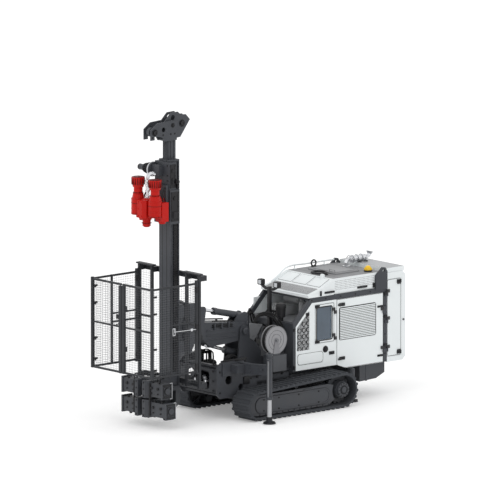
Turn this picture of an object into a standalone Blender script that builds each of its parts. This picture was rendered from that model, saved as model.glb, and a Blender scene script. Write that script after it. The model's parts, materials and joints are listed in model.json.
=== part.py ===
"""Crawler drilling rig with a lattice-free slide mast, modelled at full size.

Metres throughout. +X points forward to the mast, +Y to the machine's left, +Z up.
The origin lies on the ground below the middle of the machine's length and width.
"""
import math

import bmesh
import bpy
from mathutils import Matrix, Vector

# Fits
SEAT = 0.0003
PLAY = 0.0008
CLEAR = 0.006
BITE = 0.004
ROUND = 16

# Tracks
TRACK_Y = 0.705
BELT_WIDTH = 0.39
BELT_CORE = 0.028
LUG_HEIGHT = 0.022
LUG_COUNT = 50
LUG_SHARE = 0.52
SPROCKET_X = -1.08
SPROCKET_OUTER = 0.275
IDLER_X = 0.635
IDLER_OUTER = 0.23
WHEEL_GAP = 0.0015
WHEEL_WIDTH = 0.10
TOOTH_COUNT = 16
TOOTH_HEIGHT = 0.022
ROLLER_R = 0.062
ROLLER_XS = (-0.70, -0.42, -0.14, 0.14, 0.36)
TOP_ROLLER_X = -0.22
TOP_ROLLER_R = 0.038
BEAM_HALF = 0.07
BEAM_Z = (0.14, 0.35)
BEAM_X = (-0.78, 0.40)
COVER_HALF = 0.135
COVER_T = 0.016

# Chassis between the tracks
CHASSIS_X = (-1.25, 0.45)
CHASSIS_HALF = 0.30
CHASSIS_Z = (0.20, 0.50)
TUBE_XS = (-0.62, 0.12)
TUBE_SIZE = (0.17, 0.13)
TUBE_Z = 0.25
SILL_HALF = 0.25
SILL_T = 0.06

# House
HOUSE_HALF = 0.55
PANEL_T = 0.03
POST = 0.05
FRONT_X = -0.345
FLOOR_Z = 0.60
FLOOR_T = 0.04
SILL_Z = 1.33
SEAM_X = -1.215
RAIL_Z = (1.61, 1.69)
PILLAR_TOP_X = -0.70
REAR_POST_X = (-2.24, -2.16)
REAR_BEAM_Z = 0.53
STEP_X = -1.415
ROOF_Z = 1.93
SHELL_T = 0.02
HOOD_X = -1.165
HOOD_PROFILE = ((-0.65, 1.73), (-0.90, 1.80), (HOOD_X, ROOF_Z))
REAR_X = -2.615
REAR_Z = (0.52, 1.90)
REAR_CHAMFER = 0.06
REAR_TOP_Z = 1.97
DOOR_GAP = 0.004

# Doors: the opening's first and last x, then its lowest and highest z
WINDOW_DOOR = (-1.17, -0.78, 0.97, 1.575)
WINDOW = (-1.12, -0.82, 1.02, 1.52)
GLASS_T = 0.006
GRILLE = (-2.0, -1.283, 0.985, 1.46)
SLAT_COUNT = 11
SLAT_T = 0.006
REAR_DOOR_X = (-2.53, -2.24)
REAR_DOOR_Z = (0.60, 1.80)
HINGE_R = 0.012
HINGE_LENGTH = 0.05
STRAP = 0.045

# Boom, its cylinders and the cradle
BOOM_PIVOT = (0.30, 1.25)
BOOM_HALF = 0.13
HEAD_PIVOT = (1.20, 1.40)
HEAD_HALF = 0.10
PIN_R = 0.035
EAR_IN = 0.058
EAR_T = 0.024
EYE_GAP = 0.041
LIFT_BASE = (-0.11, 0.76)
LIFT_EYE = (0.90, 1.08)
LIFT_R = 0.05
TILT_BASE = (0.22, 1.46)
TILT_EYE = (1.12, 1.67)
TILT_R = 0.05
ROD_R = 0.026
CHEEK_T = 0.03

# Mast
MAST_BACK_X = 1.565
MAST_FRONT_X = 1.755
MAST_HALF = 0.125
MAST_WEB_HALF = 0.10
FLANGE_T = 0.02
MAST_WALL = 0.015
MAST_Z = (0.565, 4.0)
TOP_HALF = 0.05
TOP_X = (1.575, 1.745)
CROWN_Z = 4.32
GALLOWS_HALF = 0.085
SHEAVE_HALF = 0.03
CARRIAGE_FRONT_X = 1.80
HEAD_PLATE_X = 1.85
DRILL_X = 2.11
SWING_X = 1.43
SWING_R = 0.17

# Guard cage
GUARD_FRONT_X = 2.615
GUARD_HALF = 0.69
GUARD_Z = (0.85, 2.25)
GUARD_INNER = 0.40
GUARD_TUBE = 0.02
GUARD_MIDDLE = 0.055
GUARD_AXIS_X = 1.715
GUARD_POST_X = 1.66
GUARD_POST_Z = (0.60, 2.36)

# Jacks: x, y of each leg
FRONT_JACK = (0.64, 1.13)
REAR_JACK = (-1.51, 0.57)
FRONT_SLEEVE_Z = (0.37, 1.06)
REAR_SLEEVE_Z = (0.25, 0.51)
LEG_R = 0.035
SLEEVE_R = 0.045
FOOT_R = 0.10
FOOT_Z = 0.004

DARK = (0.062, 0.068, 0.078)
BLACK = (0.02, 0.021, 0.023)
RUBBER = (0.055, 0.058, 0.065)
WHITE = (0.85, 0.88, 0.87)
GREY = (0.30, 0.31, 0.33)
ROOF_GREY = (0.36, 0.37, 0.38)
RED = (0.62, 0.045, 0.035)
CHROME = (0.62, 0.63, 0.65)
ENGINE = (0.22, 0.22, 0.21)
GLASS = (0.10, 0.13, 0.17)
AMBER = (0.86, 0.60, 0.03)


def clear_scene():
    for item in list(bpy.data.objects):
        bpy.data.objects.remove(item, do_unlink=True)


def make_material(name, colour, roughness, metallic=0.0):
    material = bpy.data.materials.new(name)
    material.use_nodes = True
    shader = material.node_tree.nodes["Principled BSDF"]
    shader.inputs["Base Color"].default_value = (*colour, 1.0)
    shader.inputs["Roughness"].default_value = roughness
    shader.inputs["Metallic"].default_value = metallic
    material.diffuse_color = (*colour, 1.0)
    return material


def make_materials():
    return {
        "dark": make_material("dark_steel_paint", DARK, 0.5),
        "black": make_material("black_plastic", BLACK, 0.6),
        "rubber": make_material("track_rubber", RUBBER, 0.85),
        "white": make_material("white_paint", WHITE, 0.4),
        "grey": make_material("grey_paint", GREY, 0.5),
        "roof": make_material("roof_grey_paint", ROOF_GREY, 0.6),
        "red": make_material("red_paint", RED, 0.4),
        "chrome": make_material("chromed_steel", CHROME, 0.2, 1.0),
        "engine": make_material("cast_iron", ENGINE, 0.7, 0.3),
        "glass": make_material("tinted_glass", GLASS, 0.1),
        "amber": make_material("amber_lens", AMBER, 0.3),
    }


def solid(bm):
    """Turn a closed bmesh into an object in world place."""
    bmesh.ops.recalc_face_normals(bm, faces=bm.faces)
    mesh = bpy.data.meshes.new("solid")
    bm.to_mesh(mesh)
    bm.free()
    item = bpy.data.objects.new("solid", mesh)
    bpy.context.scene.collection.objects.link(item)
    return item


def box(x, y, z):
    """Box from three pairs of limits."""
    bm = bmesh.new()
    size = [high - low for low, high in (x, y, z)]
    middle = [(low + high) / 2 for low, high in (x, y, z)]
    place = Matrix.Translation(middle) @ Matrix.Diagonal((*size, 1.0))
    bmesh.ops.create_cube(bm, size=1.0, matrix=place)
    return solid(bm)


def prism(outline, along, limits):
    """Extrude an outline along one axis; its own axes are the other two in order."""
    first, second, depth = {"x": (1, 2, 0), "y": (0, 2, 1), "z": (0, 1, 2)}[along]
    bm = bmesh.new()
    corners = []
    for u, v in outline:
        point = [0.0, 0.0, 0.0]
        point[first] = u
        point[second] = v
        point[depth] = limits[0]
        corners.append(bm.verts.new(point))
    face = bm.faces.new(corners)
    grown = bmesh.ops.extrude_face_region(bm, geom=[face])
    moved = [item for item in grown["geom"] if isinstance(item, bmesh.types.BMVert)]
    shift = Vector((0.0, 0.0, 0.0))
    shift[depth] = limits[1] - limits[0]
    bmesh.ops.translate(bm, verts=moved, vec=shift)
    return solid(bm)


def rod(start, end, radius, end_radius=None, sides=ROUND):
    """Round bar or cone between two points."""
    start = Vector(start)
    end = Vector(end)
    way = end - start
    turn = way.to_track_quat("Z", "Y").to_matrix().to_4x4()
    place = Matrix.Translation((start + end) / 2) @ turn
    bm = bmesh.new()
    bmesh.ops.create_cone(
        bm, cap_ends=True, segments=sides, radius1=radius,
        radius2=radius if end_radius is None else end_radius, depth=way.length, matrix=place)
    return solid(bm)


def turned(profile, centre, along, sides=ROUND):
    """Revolve a closed profile of (radius, height) about an axis through the centre."""
    bm = bmesh.new()
    rings = []
    for step in range(sides):
        angle = 2 * math.pi * step / sides
        ring = []
        for radius, height in profile:
            u = radius * math.cos(angle)
            v = radius * math.sin(angle)
            point = {"x": (height, u, v), "y": (v, height, u), "z": (u, v, height)}[along]
            ring.append(bm.verts.new(Vector(point) + Vector(centre)))
        rings.append(ring)
    count = len(profile)
    for step in range(sides):
        here = rings[step]
        there = rings[(step + 1) % sides]
        for index in range(count):
            after = (index + 1) % count
            bm.faces.new((here[index], here[after], there[after], there[index]))
    bmesh.ops.remove_doubles(bm, verts=bm.verts, dist=0.00001)
    bare = [edge for edge in bm.edges if not edge.link_faces]
    bmesh.ops.delete(bm, geom=bare, context="EDGES")
    return solid(bm)


def arc(centre, radius, start, end, steps):
    """Points on an arc, angles in degrees."""
    points = []
    for step in range(steps + 1):
        angle = math.radians(start + (end - start) * step / steps)
        points.append((centre[0] + radius * math.cos(angle), centre[1] + radius * math.sin(angle)))
    return points


def rounded(x, z, radius, steps=3):
    """Rounded rectangle outline from two pairs of limits."""
    corners = ((x[1], z[0], -90), (x[1], z[1], 0), (x[0], z[1], 90), (x[0], z[0], 180))
    points = []
    for corner_x, corner_z, start in corners:
        centre_x = corner_x - radius if corner_x == x[1] else corner_x + radius
        centre_z = corner_z - radius if corner_z == z[1] else corner_z + radius
        points.extend(arc((centre_x, centre_z), radius, start, start + 90, steps))
    return points


def pipe(points, radius, sides=12):
    """Bent round bar through points, with filled ends."""
    curve = bpy.data.curves.new("pipe", "CURVE")
    curve.dimensions = "3D"
    curve.bevel_depth = radius
    curve.bevel_resolution = max(0, sides // 4 - 1)
    curve.use_fill_caps = True
    spline = curve.splines.new("POLY")
    spline.points.add(len(points) - 1)
    for point, place in zip(spline.points, points):
        point.co = (*place, 1.0)
    holder = bpy.data.objects.new("pipe", curve)
    bpy.context.scene.collection.objects.link(holder)
    graph = bpy.context.evaluated_depsgraph_get()
    mesh = bpy.data.meshes.new_from_object(holder.evaluated_get(graph))
    bpy.data.objects.remove(holder, do_unlink=True)
    bm = bmesh.new()
    bm.from_mesh(mesh)
    bpy.data.meshes.remove(mesh)
    bmesh.ops.remove_doubles(bm, verts=bm.verts, dist=0.00001)
    return solid(bm)


def fuse(name, material, solids, cuts=()):
    """One named piece: the union of some solids less some cutters."""
    base = solids[0]
    groups = []
    for operation, others in (("UNION", solids[1:]), ("DIFFERENCE", cuts)):
        if not others:
            continue
        group = bpy.data.collections.new(operation.lower())
        for other in others:
            group.objects.link(other)
        groups.append(group)
        modifier = base.modifiers.new(operation.lower(), "BOOLEAN")
        modifier.operation = operation
        modifier.solver = "EXACT"
        modifier.operand_type = "COLLECTION"
        modifier.collection = group
    graph = bpy.context.evaluated_depsgraph_get()
    mesh = bpy.data.meshes.new_from_object(base.evaluated_get(graph))
    for item in (*solids, *cuts):
        bpy.data.objects.remove(item, do_unlink=True)
    for group in groups:
        bpy.data.collections.remove(group)
    mesh.name = name
    mesh.materials.clear()
    mesh.materials.append(material)
    mesh.shade_smooth()
    mesh.set_sharp_from_angle(angle=math.radians(32))
    piece = bpy.data.objects.new(name, mesh)
    bpy.context.scene.collection.objects.link(piece)
    return piece


def axis_empty(name, place):
    """Empty on a joint's axis, which carries the moving pieces."""
    holder = bpy.data.objects.new(name, None)
    holder.empty_display_size = 0.1
    holder.location = place
    bpy.context.scene.collection.objects.link(holder)
    return holder


def carry(holder, *pieces):
    """Hang pieces on an empty and keep them in their world place."""
    bpy.context.view_layer.update()
    away = Matrix.Translation(-holder.matrix_world.translation)
    for piece in pieces:
        piece.data.transform(away)
        piece.parent = holder


def mirrored(low, high, side):
    """Limits across the machine on one side, +1 left and -1 right."""
    return (low, high) if side > 0 else (-high, -low)


def suffix(side):
    return "L" if side > 0 else "R"


def belt_path():
    """Radii, centres and turning angles of the belt's core surface."""
    rear_r = SPROCKET_OUTER - LUG_HEIGHT
    front_r = IDLER_OUTER - LUG_HEIGHT
    run = IDLER_X - SPROCKET_X
    top_angle = 90 + 2 * math.degrees(math.atan2(front_r - rear_r, run))
    return rear_r, front_r, run, top_angle


def belt_length():
    rear_r, front_r, run, top_angle = belt_path()
    front_arc = math.radians(top_angle + 90) * front_r
    rear_arc = math.radians(270 - top_angle) * rear_r
    return 2 * run + front_arc + rear_arc


def belt_point(distance, offset):
    """Point on the belt at a distance along its core, moved out by an offset."""
    rear_r, front_r, run, top_angle = belt_path()
    distance = distance % belt_length()
    if distance < run:
        return (SPROCKET_X + distance, LUG_HEIGHT - offset)
    distance -= run
    front_arc = math.radians(top_angle + 90) * front_r
    if distance < front_arc:
        angle = math.radians(-90) + distance / front_r
        reach = front_r + offset
        return (IDLER_X + reach * math.cos(angle), IDLER_OUTER + reach * math.sin(angle))
    distance -= front_arc
    top = math.radians(top_angle)
    if distance < run:
        reach = front_r + offset
        start = Vector((IDLER_X + reach * math.cos(top), IDLER_OUTER + reach * math.sin(top)))
        way = Vector((-math.sin(top), math.cos(top)))
        return tuple(start + way * distance)
    angle = top + (distance - run) / rear_r
    reach = rear_r + offset
    return (SPROCKET_X + reach * math.cos(angle), SPROCKET_OUTER + reach * math.sin(angle))


def make_track(side, materials):
    """Rubber belt with its lugs in its outline, one closed loop."""
    pitch = belt_length() / LUG_COUNT
    near = TRACK_Y * side - BELT_WIDTH / 2
    far = TRACK_Y * side + BELT_WIDTH / 2
    slope = 0.12 * pitch
    bm = bmesh.new()
    sides = []
    for y in (near, far):
        outer = []
        inner = []
        for index in range(LUG_COUNT):
            start = index * pitch
            end = start + LUG_SHARE * pitch
            steps = ((start, 0.0), (start + slope, LUG_HEIGHT), (end - slope, LUG_HEIGHT), (end, 0.0))
            outer.append([bm.verts.new(place(belt_point(s, rise), y)) for s, rise in steps])
            inner.append([bm.verts.new(place(belt_point(s, -BELT_CORE), y)) for s in (start, end)])
        sides.append((outer, inner))
    (outer_a, inner_a), (outer_b, inner_b) = sides
    for index in range(LUG_COUNT):
        after = (index + 1) % LUG_COUNT
        for outer, inner in sides:
            lug = outer[index]
            bm.faces.new((inner[index][0], *lug, inner[index][1]))
            bm.faces.new((inner[index][1], lug[3], outer[after][0], inner[after][0]))
        ring_a = (*outer_a[index], outer_a[after][0])
        ring_b = (*outer_b[index], outer_b[after][0])
        for step in range(4):
            bm.faces.new((ring_a[step], ring_a[step + 1], ring_b[step + 1], ring_b[step]))
        ring_a = (*inner_a[index], inner_a[after][0])
        ring_b = (*inner_b[index], inner_b[after][0])
        for step in range(2):
            bm.faces.new((ring_a[step], ring_a[step + 1], ring_b[step + 1], ring_b[step]))
    return fuse("track_" + suffix(side), materials["rubber"], [solid(bm)])


def place(point, y):
    return (point[0], y, point[1])


def make_sprocket(side, materials):
    """Toothed drive wheel with its hub motor and cover."""
    middle = TRACK_Y * side
    tip = SPROCKET_OUTER - LUG_HEIGHT - BELT_CORE - WHEEL_GAP
    root = tip - TOOTH_HEIGHT
    outline = []
    for tooth in range(TOOTH_COUNT):
        turn = 360 / TOOTH_COUNT
        start = tooth * turn
        for radius, share in ((root, 0.0), (root, 0.30), (tip, 0.42), (tip, 0.88)):
            angle = math.radians(start + share * turn)
            outline.append((SPROCKET_X + radius * math.cos(angle),
                            SPROCKET_OUTER + radius * math.sin(angle)))
    half = WHEEL_WIDTH / 2
    wheel = prism(outline, "y", (middle - half * 0.5, middle + half * 0.5))
    inner = middle - side * 0.19
    outer = middle + side * 0.13
    axle = (SPROCKET_X, SPROCKET_OUTER)
    motor = rod(place(axle, inner), place(axle, middle), 0.115)
    cover = rod(place(axle, middle), place(axle, outer), 0.15, 0.13)
    cap = rod(place(axle, outer - side * BITE), place(axle, outer + side * 0.03), 0.075, 0.06)
    return fuse("sprocket_" + suffix(side), materials["dark"], [wheel, motor, cover, cap])


def make_idler(side, materials):
    """Front wheel of the track, with its axle ends."""
    middle = TRACK_Y * side
    tip = IDLER_OUTER - LUG_HEIGHT - BELT_CORE - WHEEL_GAP
    half = WHEEL_WIDTH / 2
    rim = 0.03
    profile = (
        (0.0, -half), (0.06, -half), (tip - rim, -0.015), (tip - rim, -half),
        (tip, -half), (tip, half), (tip - rim, half), (tip - rim, 0.015), (0.06, half), (0.0, half))
    wheel = turned(profile, (IDLER_X, middle, IDLER_OUTER), "y", 24)
    reach = BEAM_HALF - 0.012 - PLAY
    axle = rod((IDLER_X, middle - reach, IDLER_OUTER), (IDLER_X, middle + reach, IDLER_OUTER), 0.04)
    return fuse("idler_" + suffix(side), materials["dark"], [wheel, axle])


def make_track_frame(side, materials):
    """Side beam with its rollers, idler fork, outer cover and motor plate."""
    middle = TRACK_Y * side
    beam = box(BEAM_X, mirrored(TRACK_Y - BEAM_HALF, TRACK_Y + BEAM_HALF, side), BEAM_Z)
    floor = LUG_HEIGHT + BELT_CORE + SEAT
    solids = [beam]
    reach = COVER_HALF - COVER_T + BITE
    for x in ROLLER_XS:
        z = floor + ROLLER_R
        solids.append(rod((x, middle - reach, z), (x, middle + reach, z), ROLLER_R, sides=14))
    top_z = top_run_z(TOP_ROLLER_X) - BELT_CORE - SEAT - TOP_ROLLER_R
    solids.append(rod((TOP_ROLLER_X, middle - 0.06, top_z), (TOP_ROLLER_X, middle + 0.06, top_z),
                      TOP_ROLLER_R, sides=12))
    solids.append(box((TOP_ROLLER_X - 0.02, TOP_ROLLER_X + 0.02),
                      mirrored(TRACK_Y - 0.03, TRACK_Y + 0.03, side), (BEAM_Z[1] - BITE, top_z)))
    fork_z = (IDLER_OUTER - 0.05, IDLER_OUTER + 0.05)
    for low, high in ((-BEAM_HALF, -BEAM_HALF + 0.012), (BEAM_HALF - 0.012, BEAM_HALF)):
        y = mirrored(TRACK_Y + low, TRACK_Y + high, side)
        fork = rounded((BEAM_X[1] - 0.05, IDLER_X + 0.05), fork_z, 0.045)
        solids.append(prism(fork, "y", y))
    cover_r = IDLER_OUTER - LUG_HEIGHT - BELT_CORE - 0.02
    low_z = LUG_HEIGHT + BELT_CORE + 0.018
    outline = [(BEAM_X[0] - 0.02, low_z)]
    outline.extend(arc((IDLER_X, IDLER_OUTER), cover_r, -90, 88, 8))
    outline.append((0.20, IDLER_OUTER + cover_r - 0.005))
    outline.append((BEAM_X[0] - 0.02, 0.395))
    outline.extend(arc((SPROCKET_X, SPROCKET_OUTER), 0.20, 28, -40, 5))
    cover_y = mirrored(TRACK_Y + COVER_HALF - COVER_T, TRACK_Y + COVER_HALF, side)
    solids.append(prism(outline, "y", cover_y))
    stay_y = mirrored(TRACK_Y + BEAM_HALF - BITE, TRACK_Y + COVER_HALF - COVER_T + BITE, side)
    for x in (-0.60, 0.05, 0.52):
        solids.append(box((x - 0.03, x + 0.03), stay_y, (0.20, 0.28)))
    plate_y = mirrored(TRACK_Y - BEAM_HALF - 0.02, TRACK_Y - BEAM_HALF + BITE, side)
    plate = [(BEAM_X[0] + 0.05, BEAM_Z[0]), (BEAM_X[0] + 0.05, BEAM_Z[1])]
    plate.extend(arc((SPROCKET_X, SPROCKET_OUTER), 0.16, 80, 280, 10))
    solids.append(prism(plate, "y", plate_y))
    bore_y = mirrored(TRACK_Y - 0.12, TRACK_Y, side)
    bore = rod((SPROCKET_X, bore_y[0], SPROCKET_OUTER), (SPROCKET_X, bore_y[1], SPROCKET_OUTER),
               0.115 + SEAT * 2)
    return fuse("track_frame_" + suffix(side), materials["dark"], solids, [bore])


def top_run_z(x):
    """Height of the core's outer surface on the upper run."""
    rear_r, front_r, run, top_angle = belt_path()
    top = math.radians(top_angle)
    start_x = IDLER_X + front_r * math.cos(top)
    start_z = IDLER_OUTER + front_r * math.sin(top)
    way = (-math.sin(top), math.cos(top))
    return start_z + (x - start_x) / way[0] * way[1]


def make_chassis(materials):
    """Centre frame with its cross tubes and the sills that carry the house."""
    half = CHASSIS_HALF
    low, high = CHASSIS_Z
    outline = [(-half, low + 0.05), (-half + 0.05, low), (half - 0.05, low), (half, low + 0.05),
               (half, high), (-half, high)]
    solids = [prism(outline, "x", CHASSIS_X)]
    tube_y = TRACK_Y - BEAM_HALF - SEAT
    for x in TUBE_XS:
        limits = (x - TUBE_SIZE[0] / 2, x + TUBE_SIZE[0] / 2)
        height = (TUBE_Z - TUBE_SIZE[1] / 2, TUBE_Z + TUBE_SIZE[1] / 2)
        solids.append(box(limits, (-tube_y, tube_y), height))
    for side in (1, -1):
        y = mirrored(SILL_HALF - SILL_T, SILL_HALF, side)
        solids.append(box((CHASSIS_X[0], FRONT_X - 0.02), y, (high - BITE, FLOOR_Z - SEAT)))
    window = box((-0.45, -0.05), (-half - 0.1, half + 0.1), (low + 0.09, high - 0.08))
    return fuse("chassis", materials["dark"], solids, [window])


def make_front_frame(materials):
    """Nose frame with the boom's cheeks and the lift cylinder's ears."""
    solids = []
    side_outline = [(0.30, 0.40), (0.38, 0.33), (1.03, 0.33), (1.10, 0.40), (1.10, 0.80), (1.02, 0.88),
                    (0.74, 0.88), (0.60, 0.65), (FRONT_X + 0.004, 0.65), (FRONT_X + 0.004, 0.52),
                    (0.30, 0.52)]
    for side in (1, -1):
        solids.append(prism(side_outline, "y", mirrored(0.42, 0.45, side)))
    solids.append(box((FRONT_X + 0.004, 0.72), (-0.43, 0.43), (0.62, 0.65)))
    solids.append(box((FRONT_X + 0.03, 0.44), (-0.43, 0.43), (CHASSIS_Z[1] + SEAT, 0.53)))
    solids.append(box((0.48, 1.02), (-0.43, 0.43), (0.36, 0.39)))
    solids.append(prism([(0.66, 0.62), (0.70, 0.62), (1.04, 0.80), (1.04, 0.83), (0.98, 0.83)],
                        "y", (-0.43, 0.43)))
    solids.append(box((1.06, 1.09), (-0.43, 0.43), (0.42, 0.78)))
    solids.append(box((0.46, 0.49), (-0.43, 0.43), (0.37, 0.64)))
    for side in (1, -1):
        solids.append(box((0.0, 0.03), mirrored(0.0, 0.43, side), (0.52, 0.63)))
    px, pz = BOOM_PIVOT
    cheek = [(-0.03, 0.64), (0.44, 0.64), (0.44, 0.74)]
    cheek.extend(arc((px, pz), 0.09, -20, 200, 10))
    cheek.append((-0.03, 0.92))
    gap = BOOM_HALF + PLAY + 0.008
    for side in (1, -1):
        solids.append(prism(cheek, "y", mirrored(gap, gap + CHEEK_T, side)))
    lx, lz = LIFT_BASE
    ear = [(lx - 0.08, 0.64), (lx + 0.08, 0.64)]
    ear.extend(arc((lx, lz), 0.05, 0, 180, 8))
    for side in (1, -1):
        solids.append(prism(ear, "y", mirrored(EAR_IN, EAR_IN + EAR_T, side)))
    bore = rod((px, -0.3, pz), (px, 0.3, pz), PIN_R + 0.0015)
    ear_bore = rod((lx, -0.1, lz), (lx, 0.1, lz), 0.020 + 0.001)
    holes = [rod((x, -0.6, z), (x, 0.6, z), r) for x, z, r in ((0.86, 0.60, 0.07), (0.62, 0.47, 0.05))]
    mouth = prism(rounded((-0.26, 0.26), (0.46, 0.74), 0.05), "x", (1.0, 1.2))
    return fuse("front_frame", materials["dark"], solids, [bore, ear_bore, mouth, *holes])


def pillar_x(z):
    """Rear edge of the raked front pillar."""
    rake = (FRONT_X - PILLAR_TOP_X) / (RAIL_Z[1] - SILL_Z)
    return FRONT_X - POST - (z - (SILL_Z - POST)) * rake


def make_house_frame(materials):
    """Dark frame of the house: floor, posts, raked pillars, rails and lifting plates."""
    inner = HOUSE_HALF - POST
    floor_half = HOUSE_HALF - PANEL_T - DOOR_GAP
    solids = [box((REAR_POST_X[0], FRONT_X), (-floor_half, floor_half), (FLOOR_Z, FLOOR_Z + FLOOR_T))]
    for side in (1, -1):
        y = mirrored(inner, HOUSE_HALF, side)
        solids.append(box((FRONT_X - POST, FRONT_X), y, (FLOOR_Z - 0.004, SILL_Z - POST + 0.02)))
        pillar = [(FRONT_X, SILL_Z - POST), (FRONT_X, SILL_Z), (PILLAR_TOP_X, RAIL_Z[1]),
                  (pillar_x(RAIL_Z[1]), RAIL_Z[1]), (pillar_x(SILL_Z - POST), SILL_Z - POST)]
        solids.append(prism(pillar, "y", y))
        solids.append(box((REAR_POST_X[0] + 0.02, PILLAR_TOP_X - 0.03), y, RAIL_Z))
        solids.append(box(REAR_POST_X, y, (REAR_BEAM_Z, RAIL_Z[1] + 0.1)))
        plate = [(-2.24, 1.66), (-2.006, 1.66), (-2.006, 1.88), (-2.14, 2.0), (-2.20, 1.99), (-2.24, 1.93)]
        solids.append(prism(plate, "y", mirrored(HOUSE_HALF - 0.02, HOUSE_HALF + 0.012, side)))
        beam_y = mirrored(SILL_HALF - SILL_T, SILL_HALF, side)
        solids.append(box((REAR_POST_X[0] + 0.02, CHASSIS_X[0] - 0.01), beam_y,
                          (REAR_BEAM_Z, FLOOR_Z + BITE)))
    solids.append(box((-0.80, -0.73), (-inner - BITE, inner + BITE), (1.64, RAIL_Z[1] - 0.004)))
    solids.append(box((-2.235, -2.18), (-inner - BITE, inner + BITE), (1.70, 1.76)))
    cuts = []
    for side in (1, -1):
        y = mirrored(HOUSE_HALF - 0.1, HOUSE_HALF + 0.1, side)
        cuts.append(rod((-2.165, y[0], 1.945), (-2.165, y[1], 1.945), 0.022, sides=16))
        grille_hinges = [(REAR_POST_X[1], side, z) for z in GRILLE_HINGES_Z]
        rear_hinges = [(REAR_POST_X[0], side, z) for z in REAR_HINGES_Z]
        for x, hand, z in grille_hinges:
            solids.extend(hinge_lugs(x, hand, z, -1))
        for x, hand, z in rear_hinges:
            solids.extend(hinge_lugs(x, hand, z, 1))
    return fuse("house_frame", materials["dark"], solids, cuts)


HINGE_Y = HOUSE_HALF + HINGE_R + 0.0005
GRILLE_HINGES_Z = (0.76, 1.36)
REAR_HINGES_Z = (0.76, 1.20, 1.62)
WINDOW_HINGES_Z = (1.07, 1.47)


def hinge_axis_x(edge_x, direction):
    """Hinge line in the gap between a post's edge and the door beyond it."""
    return edge_x - direction * DOOR_GAP / 2


def hinge_lugs(edge_x, side, z, direction):
    """Fixed lower knuckle; direction points from the door to the post along X."""
    axis_x = hinge_axis_x(edge_x, direction)
    y = HINGE_Y * side
    strap_x = sorted((edge_x + direction * 0.0005, edge_x + direction * STRAP))
    strap_y = mirrored(HOUSE_HALF - 0.001, HINGE_Y + 0.0035, side)
    high = z - HINGE_LENGTH / 2 - PLAY
    low = high - HINGE_LENGTH
    return [rod((axis_x, y, low), (axis_x, y, high), HINGE_R, sides=8), box(strap_x, strap_y, (low, high))]


def hinge_knuckle(edge_x, side, z, direction):
    """Moving knuckle and strap on the door, for the same edge as its fixed lugs."""
    axis_x = hinge_axis_x(edge_x, direction)
    door_edge = edge_x - direction * DOOR_GAP
    y = HINGE_Y * side
    low = z - HINGE_LENGTH / 2
    high = z + HINGE_LENGTH / 2
    strap_x = sorted((door_edge - direction * 0.0005, door_edge - direction * STRAP))
    strap_y = mirrored(HOUSE_HALF - 0.001, HINGE_Y + 0.0035, side)
    return [rod((axis_x, y, low), (axis_x, y, high), HINGE_R, sides=8),
            box(strap_x, strap_y, (low, high))]


def make_bulkhead(materials):
    """Front wall between the corner posts, with a folded top edge."""
    half = HOUSE_HALF - POST - SEAT
    wall = box((FRONT_X - 0.03, FRONT_X - 0.01), (-half, half), (FLOOR_Z + FLOOR_T + SEAT, SILL_Z))
    fold = box((FRONT_X - 0.10, FRONT_X - 0.01), (-half, half), (SILL_Z - 0.02, SILL_Z))
    ribs = []
    for y in (-0.30, 0.30):
        ribs.append(box((FRONT_X - 0.012, FRONT_X - SEAT), (y - 0.03, y + 0.03), (0.70, 1.28)))
    return fuse("front_bulkhead", materials["dark"], [wall, fold, *ribs])


def make_side_panel(side, materials):
    """Fixed white panel between the front post and the seam."""
    y = mirrored(HOUSE_HALF - PANEL_T, HOUSE_HALF, side)
    front = FRONT_X - POST - SEAT
    top = RAIL_Z[0] - SEAT
    shift = SEAT * 2
    outline = [(SEAM_X + DOOR_GAP / 2, FLOOR_Z), (front, FLOOR_Z), (front, SILL_Z - POST - shift),
               (pillar_x(top) - shift, top), (SEAM_X + DOOR_GAP / 2, top)]
    solids = [prism(outline, "y", y)]
    wide = mirrored(HOUSE_HALF - 0.1, HOUSE_HALF + 0.1, side)
    cuts = []
    if side > 0:
        x0, x1, z0, z1 = WINDOW_DOOR
        cuts.append(box((x0, x1), wide, (z0, z1)))
        gauge = [(-0.67, 0.90), (-0.42, 0.90), (-0.42, 1.26), (-0.67, 1.50)]
        cuts.append(prism(gauge, "y", wide))
        recess_y = mirrored(HOUSE_HALF - 0.006, HOUSE_HALF + 0.1, side)
        cuts.append(prism(rounded((-0.93, -0.43), (0.66, 0.85), 0.02), "y", recess_y))
        for z in WINDOW_HINGES_Z:
            solids.extend(hinge_lugs(x0, side, z, -1))
        solids.append(rod((-1.0, HOUSE_HALF - BITE, 0.875), (-1.0, HOUSE_HALF + 0.02, 0.875), 0.035, 0.03))
    else:
        cuts.append(prism(rounded((-1.12, -0.55), (0.72, 1.22), 0.03), "y",
                          mirrored(HOUSE_HALF - 0.006, HOUSE_HALF + 0.1, side)))
        for index in range(8):
            z = 0.79 + index * 0.05
            cuts.append(box((-1.05, -0.62), wide, (z, z + 0.02)))
    return fuse("side_panel_" + suffix(side), materials["white"], solids, cuts)


def make_gauge_panel(materials):
    """Plate with its rows of gauges, set into the left side."""
    plate_y = (HOUSE_HALF - PANEL_T - 0.012, HOUSE_HALF - PANEL_T - SEAT)
    outline = [(-0.70, 0.87), (-0.40, 0.87), (-0.40, 1.27), (-0.70, 1.55)]
    solids = [prism(outline, "y", plate_y)]
    rows = ((-0.47, 3), (-0.54, 4), (-0.62, 5))
    for x, count in rows:
        for index in range(count):
            z = 0.95 + index * 0.105
            solids.append(rod((x, plate_y[1] - BITE, z), (x, plate_y[1] + 0.014, z), 0.024, sides=8))
    return fuse("gauge_panel", materials["grey"], solids)


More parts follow.
